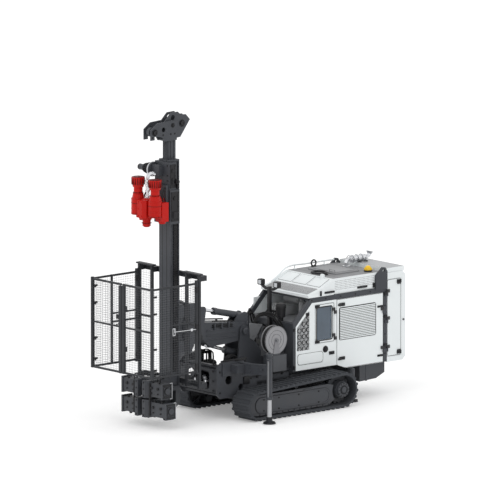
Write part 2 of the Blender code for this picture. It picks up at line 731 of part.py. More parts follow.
def make_window_door(materials):
    """Left door with its window cut, and the pane in it."""
    x0, x1, z0, z1 = WINDOW_DOOR
    gap = DOOR_GAP
    y = (HOUSE_HALF - PANEL_T, HOUSE_HALF)
    leaf = box((x0 + gap, x1 - gap), y, (z0 + gap, z1 - gap))
    wx0, wx1, wz0, wz1 = WINDOW
    hole = prism(rounded((wx0, wx1), (wz0, wz1), 0.02), "y", (HOUSE_HALF - 0.1, HOUSE_HALF + 0.1))
    knuckles = []
    for z in WINDOW_HINGES_Z:
        knuckles.extend(hinge_knuckle(x0, 1, z, -1))
    latches = []
    for z in (z0 + 0.06, z1 - 0.06):
        latches.append(box((x1 - 0.09, x1 - 0.02), (HOUSE_HALF - BITE, HOUSE_HALF + 0.014),
                           (z - 0.015, z + 0.015)))
    door = fuse("window_door", materials["white"], [leaf, *knuckles, *latches], [hole])
    pane_outline = rounded((wx0 + SEAT, wx1 - SEAT), (wz0 + SEAT, wz1 - SEAT), 0.02 - SEAT)
    middle = HOUSE_HALF - PANEL_T / 2
    pane = fuse("window_glass", materials["glass"],
                [prism(pane_outline, "y", (middle - GLASS_T / 2, middle + GLASS_T / 2))])
    return door, pane


def make_grille_door(side, materials):
    """Large side door with its louvred grille."""
    gap = DOOR_GAP
    front = SEAM_X - gap / 2
    rear = REAR_POST_X[1] + gap
    top = RAIL_Z[0] - gap
    outline = [(rear, REAR_BEAM_Z), (STEP_X, REAR_BEAM_Z), (front, FLOOR_Z), (front, top), (rear, top)]
    y = mirrored(HOUSE_HALF - PANEL_T, HOUSE_HALF, side)
    wide = mirrored(HOUSE_HALF - 0.1, HOUSE_HALF + 0.1, side)
    leaf = prism(outline, "y", y)
    gx0, gx1, gz0, gz1 = GRILLE
    hole = prism(rounded((gx0, gx1), (gz0, gz1), 0.03), "y", wide)
    opened = fuse("opened", materials["white"], [leaf], [hole])
    parts = [opened]
    pitch = (gz1 - gz0) / SLAT_COUNT
    depth = 0.8 * PANEL_T
    face = HOUSE_HALF - 0.003
    for index in range(SLAT_COUNT):
        z = gz0 + pitch * (index + 0.62)
        slat = [((face - depth) * side, z + 0.014), (face * side, z - 0.010),
                (face * side, z - 0.010 + SLAT_T), ((face - depth) * side, z + 0.014 + SLAT_T)]
        parts.append(prism(slat, "x", (gx0 - BITE, gx1 + BITE)))
    for z in GRILLE_HINGES_Z:
        parts.extend(hinge_knuckle(REAR_POST_X[1], side, z, -1))
    for z in (0.68, 1.52):
        parts.append(box((front - 0.10, front - 0.03),
                         mirrored(HOUSE_HALF - BITE, HOUSE_HALF + 0.014, side),
                         (z - 0.015, z + 0.015)))
    return fuse("grille_door_" + suffix(side), materials["white"], parts)


def make_rear_door(side, materials):
    """Narrow door in the side of the rear housing."""
    gap = DOOR_GAP
    x = (REAR_DOOR_X[0] + gap, REAR_DOOR_X[1] - gap)
    z = (REAR_DOOR_Z[0] + gap, REAR_DOOR_Z[1] - gap)
    leaf = box(x, mirrored(HOUSE_HALF - PANEL_T, HOUSE_HALF, side), z)
    parts = [leaf]
    for height in REAR_HINGES_Z:
        parts.extend(hinge_knuckle(REAR_POST_X[0], side, height, 1))
    for height in (0.68, 1.72):
        parts.append(box((x[0] + 0.01, x[0] + 0.08), mirrored(HOUSE_HALF - BITE, HOUSE_HALF + 0.014, side),
                         (height - 0.015, height + 0.015)))
    return fuse("rear_door_" + suffix(side), materials["white"], parts)


def make_rear_housing(materials):
    """Rear shell with its side openings, louvred back and raised top."""
    front = REAR_POST_X[0] - SEAT
    low, high = REAR_Z
    chamfer = REAR_CHAMFER
    outline = [(front, low), (REAR_X + chamfer, low), (REAR_X, low + chamfer), (REAR_X, high - chamfer),
               (REAR_X + chamfer, high), (front, high)]
    shell = prism(outline, "y", (-HOUSE_HALF, HOUSE_HALF))
    top = box((REAR_X + 0.02, front), (-HOUSE_HALF + 0.01, HOUSE_HALF - 0.01), (high - BITE, REAR_TOP_Z))
    t = PANEL_T
    hollow = [(front + 0.1, low + t), (REAR_X + t + chamfer * 0.7, low + t),
              (REAR_X + t, low + t + chamfer * 0.7), (REAR_X + t, high - t - chamfer * 0.7),
              (REAR_X + t + chamfer * 0.7, high - t), (front + 0.1, high - t)]
    cuts = [prism(hollow, "y", (-HOUSE_HALF + t, HOUSE_HALF - t))]
    for side in (1, -1):
        cuts.append(box((REAR_DOOR_X[0], REAR_DOOR_X[1] + 0.1),
                        mirrored(HOUSE_HALF - PANEL_T - 0.02, HOUSE_HALF + 0.1, side), REAR_DOOR_Z))
    cuts.append(prism([(y, z) for y, z in rounded((-0.42, 0.42), (0.72, 1.72), 0.04)], "x",
                      (REAR_X - 0.1, REAR_X + 0.1)))
    body = fuse("opened", materials["white"], [shell, top], cuts)
    parts = [body]
    count = 12
    pitch = 1.0 / count
    for index in range(count):
        z = 0.72 + pitch * (index + 0.45)
        slat = [(REAR_X + 0.026, z + 0.024), (REAR_X + 0.003, z - 0.022),
                (REAR_X + 0.003, z - 0.022 + SLAT_T), (REAR_X + 0.026, z + 0.024 + SLAT_T)]
        parts.append(prism(slat, "y", (-0.42 - BITE, 0.42 + BITE)))
    parts.append(box((REAR_X + 0.002, REAR_X + 0.028), (-0.012, 0.012), (0.72 - BITE, 1.72 + BITE)))
    return fuse("rear_housing", materials["white"], parts)


def make_hood(materials):
    """Sloped white front hood, hollow and open below and behind."""
    low = RAIL_Z[1] + SEAT
    rear = HOOD_X + SEAT
    lip, ledge, crest = HOOD_PROFILE
    outer = [(rear, low), (lip[0], low), lip, ledge, (rear, crest[1])]
    t = SHELL_T
    inner = [(rear - 0.1, low - 0.1), (lip[0] - t, low - 0.1), (lip[0] - t, lip[1] - t * 0.7),
             (ledge[0], ledge[1] - t), (rear, crest[1] - t * 1.1), (rear - 0.1, crest[1] - t * 1.1)]
    shell = prism(outer, "y", (-HOUSE_HALF, HOUSE_HALF))
    hollow = prism(inner, "y", (-HOUSE_HALF + t, HOUSE_HALF - t))
    return fuse("front_hood", materials["white"], [shell], [hollow])


HATCH = (-1.90, -1.42, -0.34, 0.30)
EXHAUST_Y = -0.15
EXHAUST_X = (-2.50, -2.03)
EXHAUST_Z = 2.035
LAMP_Y = 0.03
LAMP_Z = 1.895


def make_roof(materials):
    """Roof shell behind the hood, with the hatch opening."""
    low = RAIL_Z[1] + SEAT
    rear = REAR_POST_X[1] + SEAT
    front = HOOD_X - SEAT
    t = SHELL_T
    shell = box((rear, front), (-HOUSE_HALF + 0.021, HOUSE_HALF - 0.021), (low, ROOF_Z))
    hollow = box((rear - 0.1, front + 0.1), (-HOUSE_HALF + 0.021 + t, HOUSE_HALF - 0.021 - t),
                 (low - 0.1, ROOF_Z - t))
    cuts = [hollow]
    x0, x1, y0, y1 = HATCH
    cuts.append(box((x0 + 0.03, x1 - 0.03), (y0 + 0.03, y1 - 0.03), (ROOF_Z - 0.1, ROOF_Z + 0.1)))
    return fuse("roof_shell", materials["roof"], [shell], cuts)


def make_hatch(materials):
    """Roof hatch with its folded edge and grip."""
    x0, x1, y0, y1 = HATCH
    base = ROOF_Z + SEAT
    plate = box((x0, x1), (y0, y1), (base, base + 0.02))
    rib = box((x0 + 0.05, x1 - 0.05), (y0 + 0.05, y1 - 0.05), (base + 0.016, base + 0.028))
    grip = pipe([(x1 - 0.05, y1 - 0.20, base + 0.02), (x1 - 0.05, y1 - 0.20, base + 0.055),
                 (x1 - 0.05, y1 - 0.08, base + 0.055), (x1 - 0.05, y1 - 0.08, base + 0.02)], 0.006, 8)
    return fuse("roof_hatch", materials["roof"], [plate, rib, grip])


def make_engine(materials):
    """The engine as one plain block on the house floor."""
    base = FLOOR_Z + FLOOR_T + SEAT
    block = box((-2.05, -1.35), (-0.34, 0.34), (base, 1.32))
    return fuse("engine_block", materials["engine"], [block])


def make_tank(materials):
    """Tank below the rear of the house, with a sloped rear foot."""
    top = REAR_BEAM_Z - SEAT
    half = HOUSE_HALF - 0.05
    outline = [(-2.235, top), (-2.235, 0.36), (-2.06, 0.285), (-1.73, 0.27), (-1.73, top)]
    tank = prism(outline, "y", (-half, half))
    strap = prism([(-1.85, top), (-1.85, 0.268), (-1.88, 0.269), (-1.88, top)], "y",
                  (-half - 0.004, half + 0.004))
    return fuse("tank_box", materials["dark"], [tank, strap])


def make_exhaust(materials):
    """Roof silencer with its inlet, clamps and upturned flared outlet."""
    y = EXHAUST_Y
    base = ROOF_Z + SEAT
    axis_z = EXHAUST_Z
    inlet_x = EXHAUST_X[1]
    outlet_x = EXHAUST_X[0]
    parts = [rod((inlet_x, y, base), (inlet_x, y, base + 0.012), 0.06)]
    route = [(inlet_x, y, base + 0.006), (inlet_x, y, axis_z - 0.05), (inlet_x - 0.015, y, axis_z - 0.015),
             (inlet_x - 0.05, y, axis_z), (outlet_x + 0.06, y, axis_z),
             (outlet_x + 0.018, y, axis_z + 0.018),
             (outlet_x, y, axis_z + 0.05)]
    parts.append(pipe(route, 0.034, 10))
    parts.append(rod((inlet_x - 0.09, y, axis_z), (outlet_x + 0.10, y, axis_z), 0.05, sides=14))
    parts.append(rod((outlet_x, y, axis_z + 0.04), (outlet_x - 0.01, y, axis_z + 0.08), 0.036, 0.06,
                     sides=12))
    mouth = rod((outlet_x, y, axis_z + 0.05), (outlet_x - 0.012, y, axis_z + 0.085), 0.028, 0.056, sides=12)
    return fuse("exhaust", materials["chrome"], parts, [mouth])


def make_beacon(materials):
    """Warning beacon on its low base."""
    profile = ((0.0, 0.0), (0.066, 0.0), (0.066, 0.016), (0.056, 0.02), (0.05, 0.07), (0.032, 0.09),
               (0.0, 0.095))
    body = turned(profile, (-2.0, HOUSE_HALF - 0.165, ROOF_Z + SEAT), "z", 16)
    return fuse("beacon", materials["amber"], [body])


def make_lamp_post(materials):
    """Post on the bulkhead with a cranked bar and two work lamps."""
    x = FRONT_X + SEAT
    middle = LAMP_Y
    post = box((x, x + 0.05), (middle - 0.025, middle + 0.025), (0.95, LAMP_Z - 0.05))
    foot = box((x, x + 0.02), (-0.35, 0.35), (0.92, 1.0))
    half = [(0.0, -0.105), (0.09, -0.105), (0.20, -0.05), (0.185, -0.025), (0.08, -0.065), (0.0, -0.065)]
    outline = [(middle + y, LAMP_Z + z) for y, z in half]
    outline.extend([(middle - y, LAMP_Z + z) for y, z in reversed(half[1:-1])])
    parts = [post, foot, prism(outline, "x", (x + 0.01, x + 0.04))]
    for y in (middle - 0.185, middle + 0.185):
        parts.append(prism(rounded((y - 0.048, y + 0.048), (LAMP_Z - 0.045, LAMP_Z + 0.045), 0.012), "x",
                           (x - 0.005, x + 0.06)))
    return fuse("lamp_post", materials["black"], parts)


def make_air_filter(materials):
    """Air cleaner standing on the bulkhead's top edge."""
    profile = ((0.0, 0.0), (0.04, 0.0), (0.04, 0.05), (0.07, 0.06), (0.075, 0.19), (0.08, 0.20),
               (0.08, 0.235), (0.06, 0.27), (0.0, 0.28))
    body = turned(profile, (FRONT_X - 0.055, 0.20, SILL_Z + SEAT), "z", 16)
    return fuse("air_filter", materials["black"], [body])


REEL_X = 0.015
REEL_Y = (0.465, 0.57)
REEL_Z = 1.13
REEL_R = 0.22
SHAFT_R = 0.02


def make_reel_stand(materials):
    """Box and forked arm that carry the hose reel."""
    parts = [box((REEL_X - 0.18, REEL_X + 0.09), (0.38, 0.60), (0.65 + SEAT, 0.90))]
    arm = [(REEL_X - 0.075, 0.88), (REEL_X + 0.075, 0.88)]
    arm.extend(arc((REEL_X, REEL_Z), 0.032, -20, 200, 8))
    for y in ((REEL_Y[0] - PLAY - 0.012, REEL_Y[0] - PLAY), (REEL_Y[1] + PLAY, REEL_Y[1] + PLAY + 0.012)):
        parts.append(prism(arm, "y", y))
    parts.append(rod((REEL_X, REEL_Y[0] - PLAY - 0.012, REEL_Z), (REEL_X, REEL_Y[1] + PLAY + 0.02, REEL_Z),
                     SHAFT_R))
    return fuse("reel_stand", materials["grey"], parts)


def make_reel(materials):
    """Hose reel drum between its two flanges."""
    low = REEL_Y[0]
    high = REEL_Y[1]
    bore = SHAFT_R + PLAY
    width = high - low
    profile = ((bore, 0.0), (REEL_R, 0.0), (REEL_R, 0.012), (0.16, 0.012), (0.16, width - 0.012),
               (REEL_R, width - 0.012), (REEL_R, width), (bore, width))
    drum = turned(profile, (REEL_X, low, REEL_Z), "y", 24)
    return fuse("hose_reel", materials["grey"], [drum])


def make_outrigger(side, materials):
    """Front arm over the track with the sleeve of its jack leg."""
    jx, jy = FRONT_JACK
    arm = [(0.45 + SEAT, 0.70), (0.62, 0.70), (jy, 0.74), (jy, 0.90), (0.70, 0.86), (0.45 + SEAT, 0.86)]
    outline = [(y * side, z) for y, z in arm]
    parts = [prism(outline, "x", (jx - 0.045, jx + 0.045))]
    parts.append(box((0.58, 1.0), mirrored(0.45 + SEAT, 0.47, side), (0.67, 0.87)))
    parts.append(box((jx - 0.02, jx + 0.20), mirrored(0.46, 0.62, side), (0.72, 0.84)))
    low, high = FRONT_SLEEVE_Z
    parts.append(rod((jx, jy * side, low), (jx, jy * side, high), SLEEVE_R))
    parts.append(rod((jx, jy * side, low - 0.001), (jx, jy * side, low + 0.04), SLEEVE_R + 0.01))
    parts.append(rod((jx, jy * side, high - 0.02), (jx, jy * side, high + 0.015), SLEEVE_R + 0.008))
    bore = rod((jx, jy * side, low - 0.1), (jx, jy * side, high - 0.02), LEG_R + PLAY)
    return fuse("outrigger_" + suffix(side), materials["dark"], parts, [bore])


def make_leg(name, spot, top, materials):
    """Jack leg with its round foot."""
    x, y = spot
    tube = rod((x, y, FOOT_Z + 0.01), (x, y, top), LEG_R)
    collar = rod((x, y, FOOT_Z + 0.012), (x, y, FOOT_Z + 0.085), 0.055, 0.042)
    foot = rod((x, y, FOOT_Z), (x, y, FOOT_Z + 0.018), FOOT_R, 0.09, 24)
    return fuse(name, materials["chrome"], [tube, collar, foot])


def make_rear_jack(side, materials):
    """Rear jack sleeve below the house floor."""
    x, y = REAR_JACK
    y = y * side
    low, high = REAR_SLEEVE_Z
    sleeve = rod((x, y, low), (x, y, high), SLEEVE_R)
    collar = rod((x, y, low - 0.001), (x, y, low + 0.03), SLEEVE_R + 0.006)
    seat_z = REAR_BEAM_Z - SEAT
    outline = [(SILL_HALF - SILL_T, 0.42), (REAR_JACK[1] + 0.02, 0.42), (REAR_JACK[1] + 0.02, high - 0.01),
               (0.34, high - 0.01), (0.30, seat_z), (SILL_HALF - SILL_T, seat_z)]
    bracket = prism([(across * side, z) for across, z in outline], "x", (x - 0.045, x + 0.045))
    bore = rod((x, y, 0.10), (x, y, high - 0.015), LEG_R + PLAY)
    return fuse("rear_jack_" + suffix(side), materials["dark"], [sleeve, collar, bracket], [bore])


def make_boom(materials):
    """Boom box with its pivot bosses, hump ears and head eye."""
    px, pz = BOOM_PIVOT
    hx, hz = HEAD_PIVOT
    outline = [(0.62, 1.09), (0.97, 1.08), (1.09, 1.20), (1.13, 1.30), (1.13, 1.47), (0.62, 1.415),
               (0.40, 1.39)]
    outline.extend(arc((px, pz), 0.13, 90, 270, 8))
    parts = [prism(outline, "y", (-BOOM_HALF, BOOM_HALF))]
    head = [(1.02, 1.18), (1.12, 1.30)]
    head.extend(arc((hx, hz), 0.085, -70, 100, 10))
    head.extend([(1.02, 1.45)])
    parts.append(prism(head, "y", (-HEAD_HALF, HEAD_HALF)))
    tx, tz = TILT_BASE
    ear = [(0.46, 1.36), (0.36, 1.50)]
    ear.extend(arc((tx, tz), 0.065, 60, 200, 7))
    ear.extend([(0.20, 1.30), (0.40, 1.30)])
    for side in (1, -1):
        parts.append(prism(ear, "y", mirrored(EAR_IN, EAR_IN + EAR_T, side)))
    boss = BOOM_HALF + 0.008
    parts.append(rod((px, -boss, pz), (px, boss, pz), 0.075))
    parts.append(rod((px, -0.20, pz), (px, 0.20, pz), PIN_R))
    lx, lz = LIFT_EYE
    pocket = box((0.70, 1.02), (-0.075, 0.075), (1.0, 1.23))
    tunnel = box((0.10, 0.72), (-0.075, 0.075), (1.0, LIFT_EYE[1] + LIFT_R + CLEAR * 2))
    stubs = []
    for side in (1, -1):
        y = mirrored(EYE_GAP, BOOM_HALF - 0.01, side)
        stubs.append(rod((lx, y[0], lz), (lx, y[1], lz), 0.028, sides=16))
    groove = box((0.05, 0.62), (-EAR_IN, EAR_IN), (1.40, 1.7))
    head_bore = rod((hx, -0.2, hz), (hx, 0.2, hz), PIN_R + 0.0015)
    tilt_bore = rod((tx, -0.2, tz), (tx, 0.2, tz), 0.021)
    body = fuse("opened", materials["dark"], parts, [pocket, tunnel, groove, head_bore, tilt_bore])
    ribs = []
    for side in (1, -1):
        y = mirrored(BOOM_HALF - BITE, BOOM_HALF + 0.006, side)
        ribs.append(prism([(0.55, 1.19), (1.02, 1.26), (1.02, 1.275), (0.55, 1.205)], "y", y))
        ribs.append(prism([(0.55, 1.28), (1.02, 1.34), (1.02, 1.355), (0.55, 1.295)], "y", y))
    return fuse("boom", materials["dark"], [body, *stubs, *ribs])


def along(base, tip, distance):
    """Point at a distance from the base towards the tip, in the XZ plane."""
    way = Vector(tip) - Vector(base)
    return tuple(Vector(base) + way.normalized() * distance)


def make_cylinder(name, base, eye, radius, length, reach, materials):
    """Barrel with its base eye and pins, and a rod with an open end eye."""
    start = place(base, 0)
    end = place(along(base, eye, length), 0)
    eye_r = radius * 0.85
    barrel = [rod(place(along(base, eye, 0.02), 0), end, radius)]
    eye_y = EAR_IN - PLAY
    pin_y = EAR_IN + EAR_T
    barrel.append(rod((base[0], -eye_y, base[1]), (base[0], eye_y, base[1]), eye_r))
    barrel.append(rod((base[0], -pin_y, base[1]), (base[0], pin_y, base[1]), 0.020))
    barrel.append(rod(place(along(base, eye, length - 0.05), 0),
                      place(along(base, eye, length + 0.01), 0), radius + 0.006))
    bore = rod(place(along(base, eye, length - reach - 0.03), 0), place(along(base, eye, length + 0.05), 0),
               ROD_R + PLAY)
    tube = fuse(name + "_cylinder", materials["dark"], barrel, [bore])
    stem = rod(place(along(base, eye, length - 0.06), 0), place(eye, 0), ROD_R)
    ring = rod((eye[0], -0.028, eye[1]), (eye[0], 0.028, eye[1]), 0.04)
    hole = rod((eye[0], -0.1, eye[1]), (eye[0], 0.1, eye[1]), 0.02)
    piston = fuse(name + "_rod", materials["chrome"], [stem, ring], [hole])
    return tube, piston


def make_cradle(materials):
    """Mast cradle: two cheeks on the boom head, a front plate and the swing ring."""
    hx, hz = HEAD_PIVOT
    tx, tz = TILT_EYE
    cheek = [(1.36, 1.06), (1.39, 1.06), (1.39, 1.80), (1.30, 1.80)]
    cheek.extend(arc((tx, tz), 0.05, 60, 200, 6))
    cheek.extend(arc((hx, hz), 0.09, 170, 290, 7))
    inner = BOOM_HALF + 0.008
    parts = []
    for side in (1, -1):
        parts.append(prism(cheek, "y", mirrored(inner, inner + CHEEK_T, side)))
        parts.append(rod((tx, side * EYE_GAP, tz), (tx, side * (inner + 0.01), tz), 0.028))
        parts.append(rod((hx, side * (HEAD_HALF + PLAY), hz), (hx, side * (inner + 0.01), hz), 0.06))
    plate_y = inner + CHEEK_T - 0.004
    parts.append(box((1.36, 1.40), (-plate_y, plate_y), (1.05, 1.80)))
    parts.append(rod((1.39, 0, hz), (SWING_X, 0, hz), SWING_R, sides=28))
    parts.append(rod((hx, -inner - CHEEK_T - 0.02, hz), (hx, inner + CHEEK_T + 0.02, hz), PIN_R))
    return fuse("cradle", materials["dark"], parts)


def make_swing_plate(materials):
    """Slide block that turns on the cradle and guides the mast's rear flange."""
    hz = HEAD_PIVOT[1]
    start = SWING_X + PLAY
    face = MAST_BACK_X - PLAY
    parts = [rod((start, 0, hz), (start + 0.05, 0, hz), SWING_R, sides=28)]
    parts.append(box((1.465, face), (-0.10, 0.10), (1.06, 1.79)))
    lip = (MAST_BACK_X + FLANGE_T + PLAY, MAST_BACK_X + FLANGE_T + PLAY + 0.016)
    for z in ((1.07, 1.24), (1.60, 1.77)):
        for side in (1, -1):
            parts.append(box((1.49, lip[1]), mirrored(MAST_HALF + PLAY, 0.15, side), z))
            parts.append(box((1.49, face), mirrored(0.09, 0.15, side), z))
            parts.append(box(lip, mirrored(0.108, 0.15, side), z))
    return fuse("swing_plate", materials["dark"], parts)


def make_mast(materials):
    """Mast beam: a hollow box with wide guide flanges front and back."""
    back = MAST_BACK_X
    front = MAST_FRONT_X
    half = MAST_HALF
    web = MAST_WEB_HALF
    flange = FLANGE_T
    right = [(back, half), (back + flange, half), (back + flange, web), (front - flange, web),
             (front - flange, half), (front, half)]
    left = [(x, -y) for x, y in reversed(right)]
    beam = prism(right + left, "z", MAST_Z)
    wall = MAST_WALL
    hollow = box((back + flange, front - flange), (-web + wall, web - wall),
                 (MAST_Z[0] - 0.1, MAST_Z[1] + 0.1))
    return fuse("mast", materials["dark"], [beam], [hollow])


def make_crown(materials):
    """Slim mast top and the gallows head with its sheaves and lifting lug."""
    foot = MAST_Z[1] + SEAT
    parts = [box((MAST_BACK_X, MAST_FRONT_X), (-MAST_HALF, MAST_HALF), (foot, foot + 0.03))]
    parts.append(box(TOP_X, (-TOP_HALF, TOP_HALF), (foot + 0.02, CROWN_Z + 0.10)))
    gallows = [(1.58, 0.0), (1.82, 0.0), (1.86, 0.06), (1.98, 0.09), (2.02, 0.09), (2.02, 0.04),
               (2.10, 0.04), (2.10, 0.20), (1.97, 0.29), (1.62, 0.31), (1.58, 0.28)]
    back = [(1.80, 0.29), (1.67, 0.415), (1.53, 0.42), (1.47, 0.37), (1.37, 0.365), (1.29, 0.28),
            (1.48, 0.03), (1.62, 0.02)]
    for side in (1, -1):
        y = mirrored(GALLOWS_HALF - 0.014, GALLOWS_HALF, side)
        parts.append(prism([(x, CROWN_Z + z) for x, z in gallows], "y", y))
        y = mirrored(SHEAVE_HALF + 0.006, SHEAVE_HALF + 0.020, side)
        parts.append(prism([(x, CROWN_Z + z) for x, z in back], "y", y))
    parts.append(box((1.59, 1.81), (-GALLOWS_HALF + 0.002, GALLOWS_HALF - 0.002),
                     (CROWN_Z + 0.002, CROWN_Z + 0.03)))
    parts.append(rod((1.66, -GALLOWS_HALF, CROWN_Z + 0.23), (1.66, GALLOWS_HALF, CROWN_Z + 0.23), 0.022,
                     sides=8))
    for x, z, radius, reach in ((1.451, 0.237, 0.075, SHEAVE_HALF + 0.026),
                                (2.02, 0.155, 0.07, GALLOWS_HALF + 0.006)):
        parts.append(rod((x, -SHEAVE_HALF, CROWN_Z + z), (x, SHEAVE_HALF, CROWN_Z + z), radius, sides=14))
        parts.append(rod((x, -reach, CROWN_Z + z), (x, reach, CROWN_Z + z), 0.018, sides=8))
    cuts = [rod((1.842, -0.1, CROWN_Z + 0.18), (1.842, 0.1, CROWN_Z + 0.18), 0.038, sides=10)]
    cuts.append(rod((1.63, -0.1, CROWN_Z + 0.34), (1.63, 0.1, CROWN_Z + 0.34), 0.042, sides=10))
    return fuse("crown", materials["dark"], parts, cuts)


CARRIAGE_Z = (3.06, 4.0)


def make_carriage(materials):
    """Feed carriage round the mast's front flange, with the head's plate and the feed motor."""
    low, high = CARRIAGE_Z
    front = MAST_FRONT_X + PLAY
    face = CARRIAGE_FRONT_X
    inner = MAST_HALF + 0.008
    parts = [box((front, face), (-0.15, 0.15), (low, high))]
    lip = (MAST_FRONT_X - FLANGE_T - PLAY - 0.02, MAST_FRONT_X - FLANGE_T - PLAY)
    for side in (1, -1):
        parts.append(box((1.612, face), mirrored(inner, inner + 0.052, side), (low, low + 0.52)))
        parts.append(box((1.66, face), mirrored(inner, inner + 0.036, side), (low + 0.51, high)))
        parts.append(box(lip, mirrored(0.108, 0.14, side), (low + 0.01, high - 0.36)))
    parts.append(box((face - BITE, HEAD_PLATE_X), (-0.15, 0.15), (low + 0.06, low + 0.60)))
    motor_z = high - 0.13
    for y0, y1, r0, r1 in ((-0.145, -0.20, 0.11, 0.11), (-0.195, -0.38, 0.10, 0.055),
                           (-0.375, -0.48, 0.045, 0.045)):
        parts.append(rod((1.835, y0, motor_z), (1.835, y1, motor_z), r0, r1, sides=14))
    parts.append(box((1.775, 1.885), (-0.175, 0.02), (motor_z - 0.08, motor_z + 0.08)))
    return fuse("carriage", materials["black"], parts)


HEAD_Z = (3.19, 3.46)
MOTOR_Y = 0.195


def make_rotary_head(materials):
    """Red rotary head: centre column, two gear lobes with motors, and side blocks."""
    low, high = HEAD_Z
    back = HEAD_PLATE_X + SEAT
    column = [(1.98, -0.10), (2.20, -0.10), (2.25, -0.055), (2.25, 0.055), (2.20, 0.10), (1.98, 0.10)]
    parts = [prism(column, "z", HEAD_Z)]
    parts.append(prism([(back, low + 0.01), (2.0, low + 0.03), (2.0, high - 0.03), (back, high)], "y",
                       (-0.10, 0.10)))
    for side in (1, -1):
        y = side * MOTOR_Y
        parts.append(rod((DRILL_X, y, low + 0.02), (DRILL_X, y, high - 0.012), 0.105))
        parts.append(box((1.93, 2.06), mirrored(0.15, 0.30, side), (low - 0.05, high - 0.03)))
        parts.append(rod((DRILL_X, y, high - 0.016), (DRILL_X, y, high + 0.07), 0.098, 0.078))
        parts.append(rod((DRILL_X, y, high + 0.06), (DRILL_X, y, high + 0.18), 0.068))
        parts.append(rod((DRILL_X, y, high + 0.17), (DRILL_X, y, high + 0.32), 0.085, 0.102))
    parts.append(rod((DRILL_X - 0.02, 0, high - BITE), (DRILL_X - 0.02, 0, high + 0.33), 0.024, sides=10))
    parts.append(rod((DRILL_X, 0, low - 0.02), (DRILL_X, 0, low + BITE), 0.09))
    return fuse("rotary_head", materials["red"], parts)


def make_spindle(materials):
    """Drive spindle below the head with its threaded nose and flats."""
    top = HEAD_Z[0] - 0.02 - PLAY
    profile = ((0.0, 3.04), (0.045, 3.04), (0.052, 3.055), (0.062, 3.058), (0.062, 3.145),
               (0.075, 3.15), (0.075, top), (0.0, top))
    body = turned(profile, (DRILL_X, 0, 0), "z", 20)
    flats = []
    for side in (1, -1):
        flats.append(box((2.0, 2.2), mirrored(0.055, 0.1, side), (3.08, 3.125)))
    return fuse("spindle", materials["red"], [body], flats)


def make_clamp_bracket(materials):
    """Foot bracket below and before the mast, which carries the clamps."""
    low = [(1.58, 0.30), (1.70, 0.20), (1.96 - SEAT, 0.17), (1.96 - SEAT, 0.70),
           (MAST_FRONT_X + SEAT, 0.70),
           (MAST_FRONT_X + SEAT, MAST_Z[0] - SEAT), (1.58, MAST_Z[0] - SEAT)]
    body = prism(low, "y", (-0.15, 0.15))
    cut = box((1.66, 1.90), (-0.5, 0.5), (0.30, 0.50))
    web = box((1.58 + 0.02, 1.94), (-0.02, 0.02), (0.28, 0.52))
    return fuse("clamp_bracket", materials["dark"], [fuse("opened", materials["dark"], [body], [cut]), web])


def make_clamp(name, z, reach, materials):
    """Rod clamp: centre block with the string's way, boxed jaw cylinders and end plates."""
    low, high = z
    middle = (low + high) / 2
    block = [(1.96, -0.17), (2.20, -0.17), (2.25, -0.12), (2.25, 0.12), (2.20, 0.17), (1.96, 0.17)]
    parts = [prism(block, "z", z)]
    half = (high - low) / 2 - 0.006
    for side, tip in ((1, reach[0]), (-1, reach[1])):
        parts.append(box((DRILL_X - 0.085, DRILL_X + 0.085), mirrored(0.15, tip - 0.02, side),
                         (middle - half * 0.84, middle + half * 0.84)))
        parts.append(box((DRILL_X - 0.10, DRILL_X + 0.10), mirrored(tip - 0.03, tip, side),
                         (middle - half, middle + half)))
        parts.append(rod((DRILL_X, side * (tip - BITE), middle), (DRILL_X, side * (tip + 0.015), middle),
                         0.05,
                         sides=10))
    way = rod((DRILL_X, 0, low - 0.1), (DRILL_X, 0, high + 0.1), 0.085)
    mouth = box((DRILL_X, 2.4), (-0.05, 0.05), (low - 0.1, high + 0.1))
    body = fuse("opened", materials["dark"], parts, [way, mouth])
    extras = []
    for side in (1, -1):
        extras.append(box((DRILL_X - 0.04, DRILL_X + 0.04), mirrored(0.05, 0.10, side),
                          (low + 0.03, high - 0.03)))
    return fuse(name, materials["dark"], [body, *extras])


def make_guard_frame(materials):
    """Arms on the mast's back with two posts a side that carry the guard leaves."""
    back = MAST_BACK_X - SEAT
    edge = GUARD_HALF + 0.02
    foot, top = GUARD_POST_Z
    post_x = (GUARD_POST_X - 0.02, GUARD_POST_X + 0.02)
    parts = []
    for z in ((foot, foot + 0.08), (GUARD_Z[1] - 0.01, GUARD_Z[1] + 0.07)):
        parts.append(box((back - 0.04, back), (-edge, edge), z))
        for side in (1, -1):
            for y in (GUARD_HALF, GUARD_INNER):
                parts.append(box((back - 0.01, post_x[1]), mirrored(y - 0.02, y + 0.02, side), z))
    for side in (1, -1):
        for y in (GUARD_HALF, GUARD_INNER):
            parts.append(box(post_x, mirrored(y - 0.02, y + 0.02, side), (foot, top - BITE)))
        parts.append(box((post_x[0] - 0.02, post_x[1] + 0.02),
                         mirrored(GUARD_INNER - 0.05, edge + 0.02, side),
                         (top - 0.02, top)))
        parts.append(box((GUARD_POST_X - 0.012, GUARD_POST_X + 0.012),
                         mirrored(GUARD_INNER, GUARD_HALF, side),
                         (1.54, 1.57)))
        y = GUARD_HALF * side
        for low, high in ((GUARD_Z[0] - PLAY - 0.014, GUARD_Z[0] - PLAY),
                          (GUARD_Z[1] + PLAY, GUARD_Z[1] + PLAY + 0.014)):
            parts.append(box((GUARD_POST_X, GUARD_AXIS_X + GUARD_TUBE), (y - GUARD_TUBE, y + GUARD_TUBE),
                             (low, high)))
    return fuse("guard_frame", materials["dark"], parts)


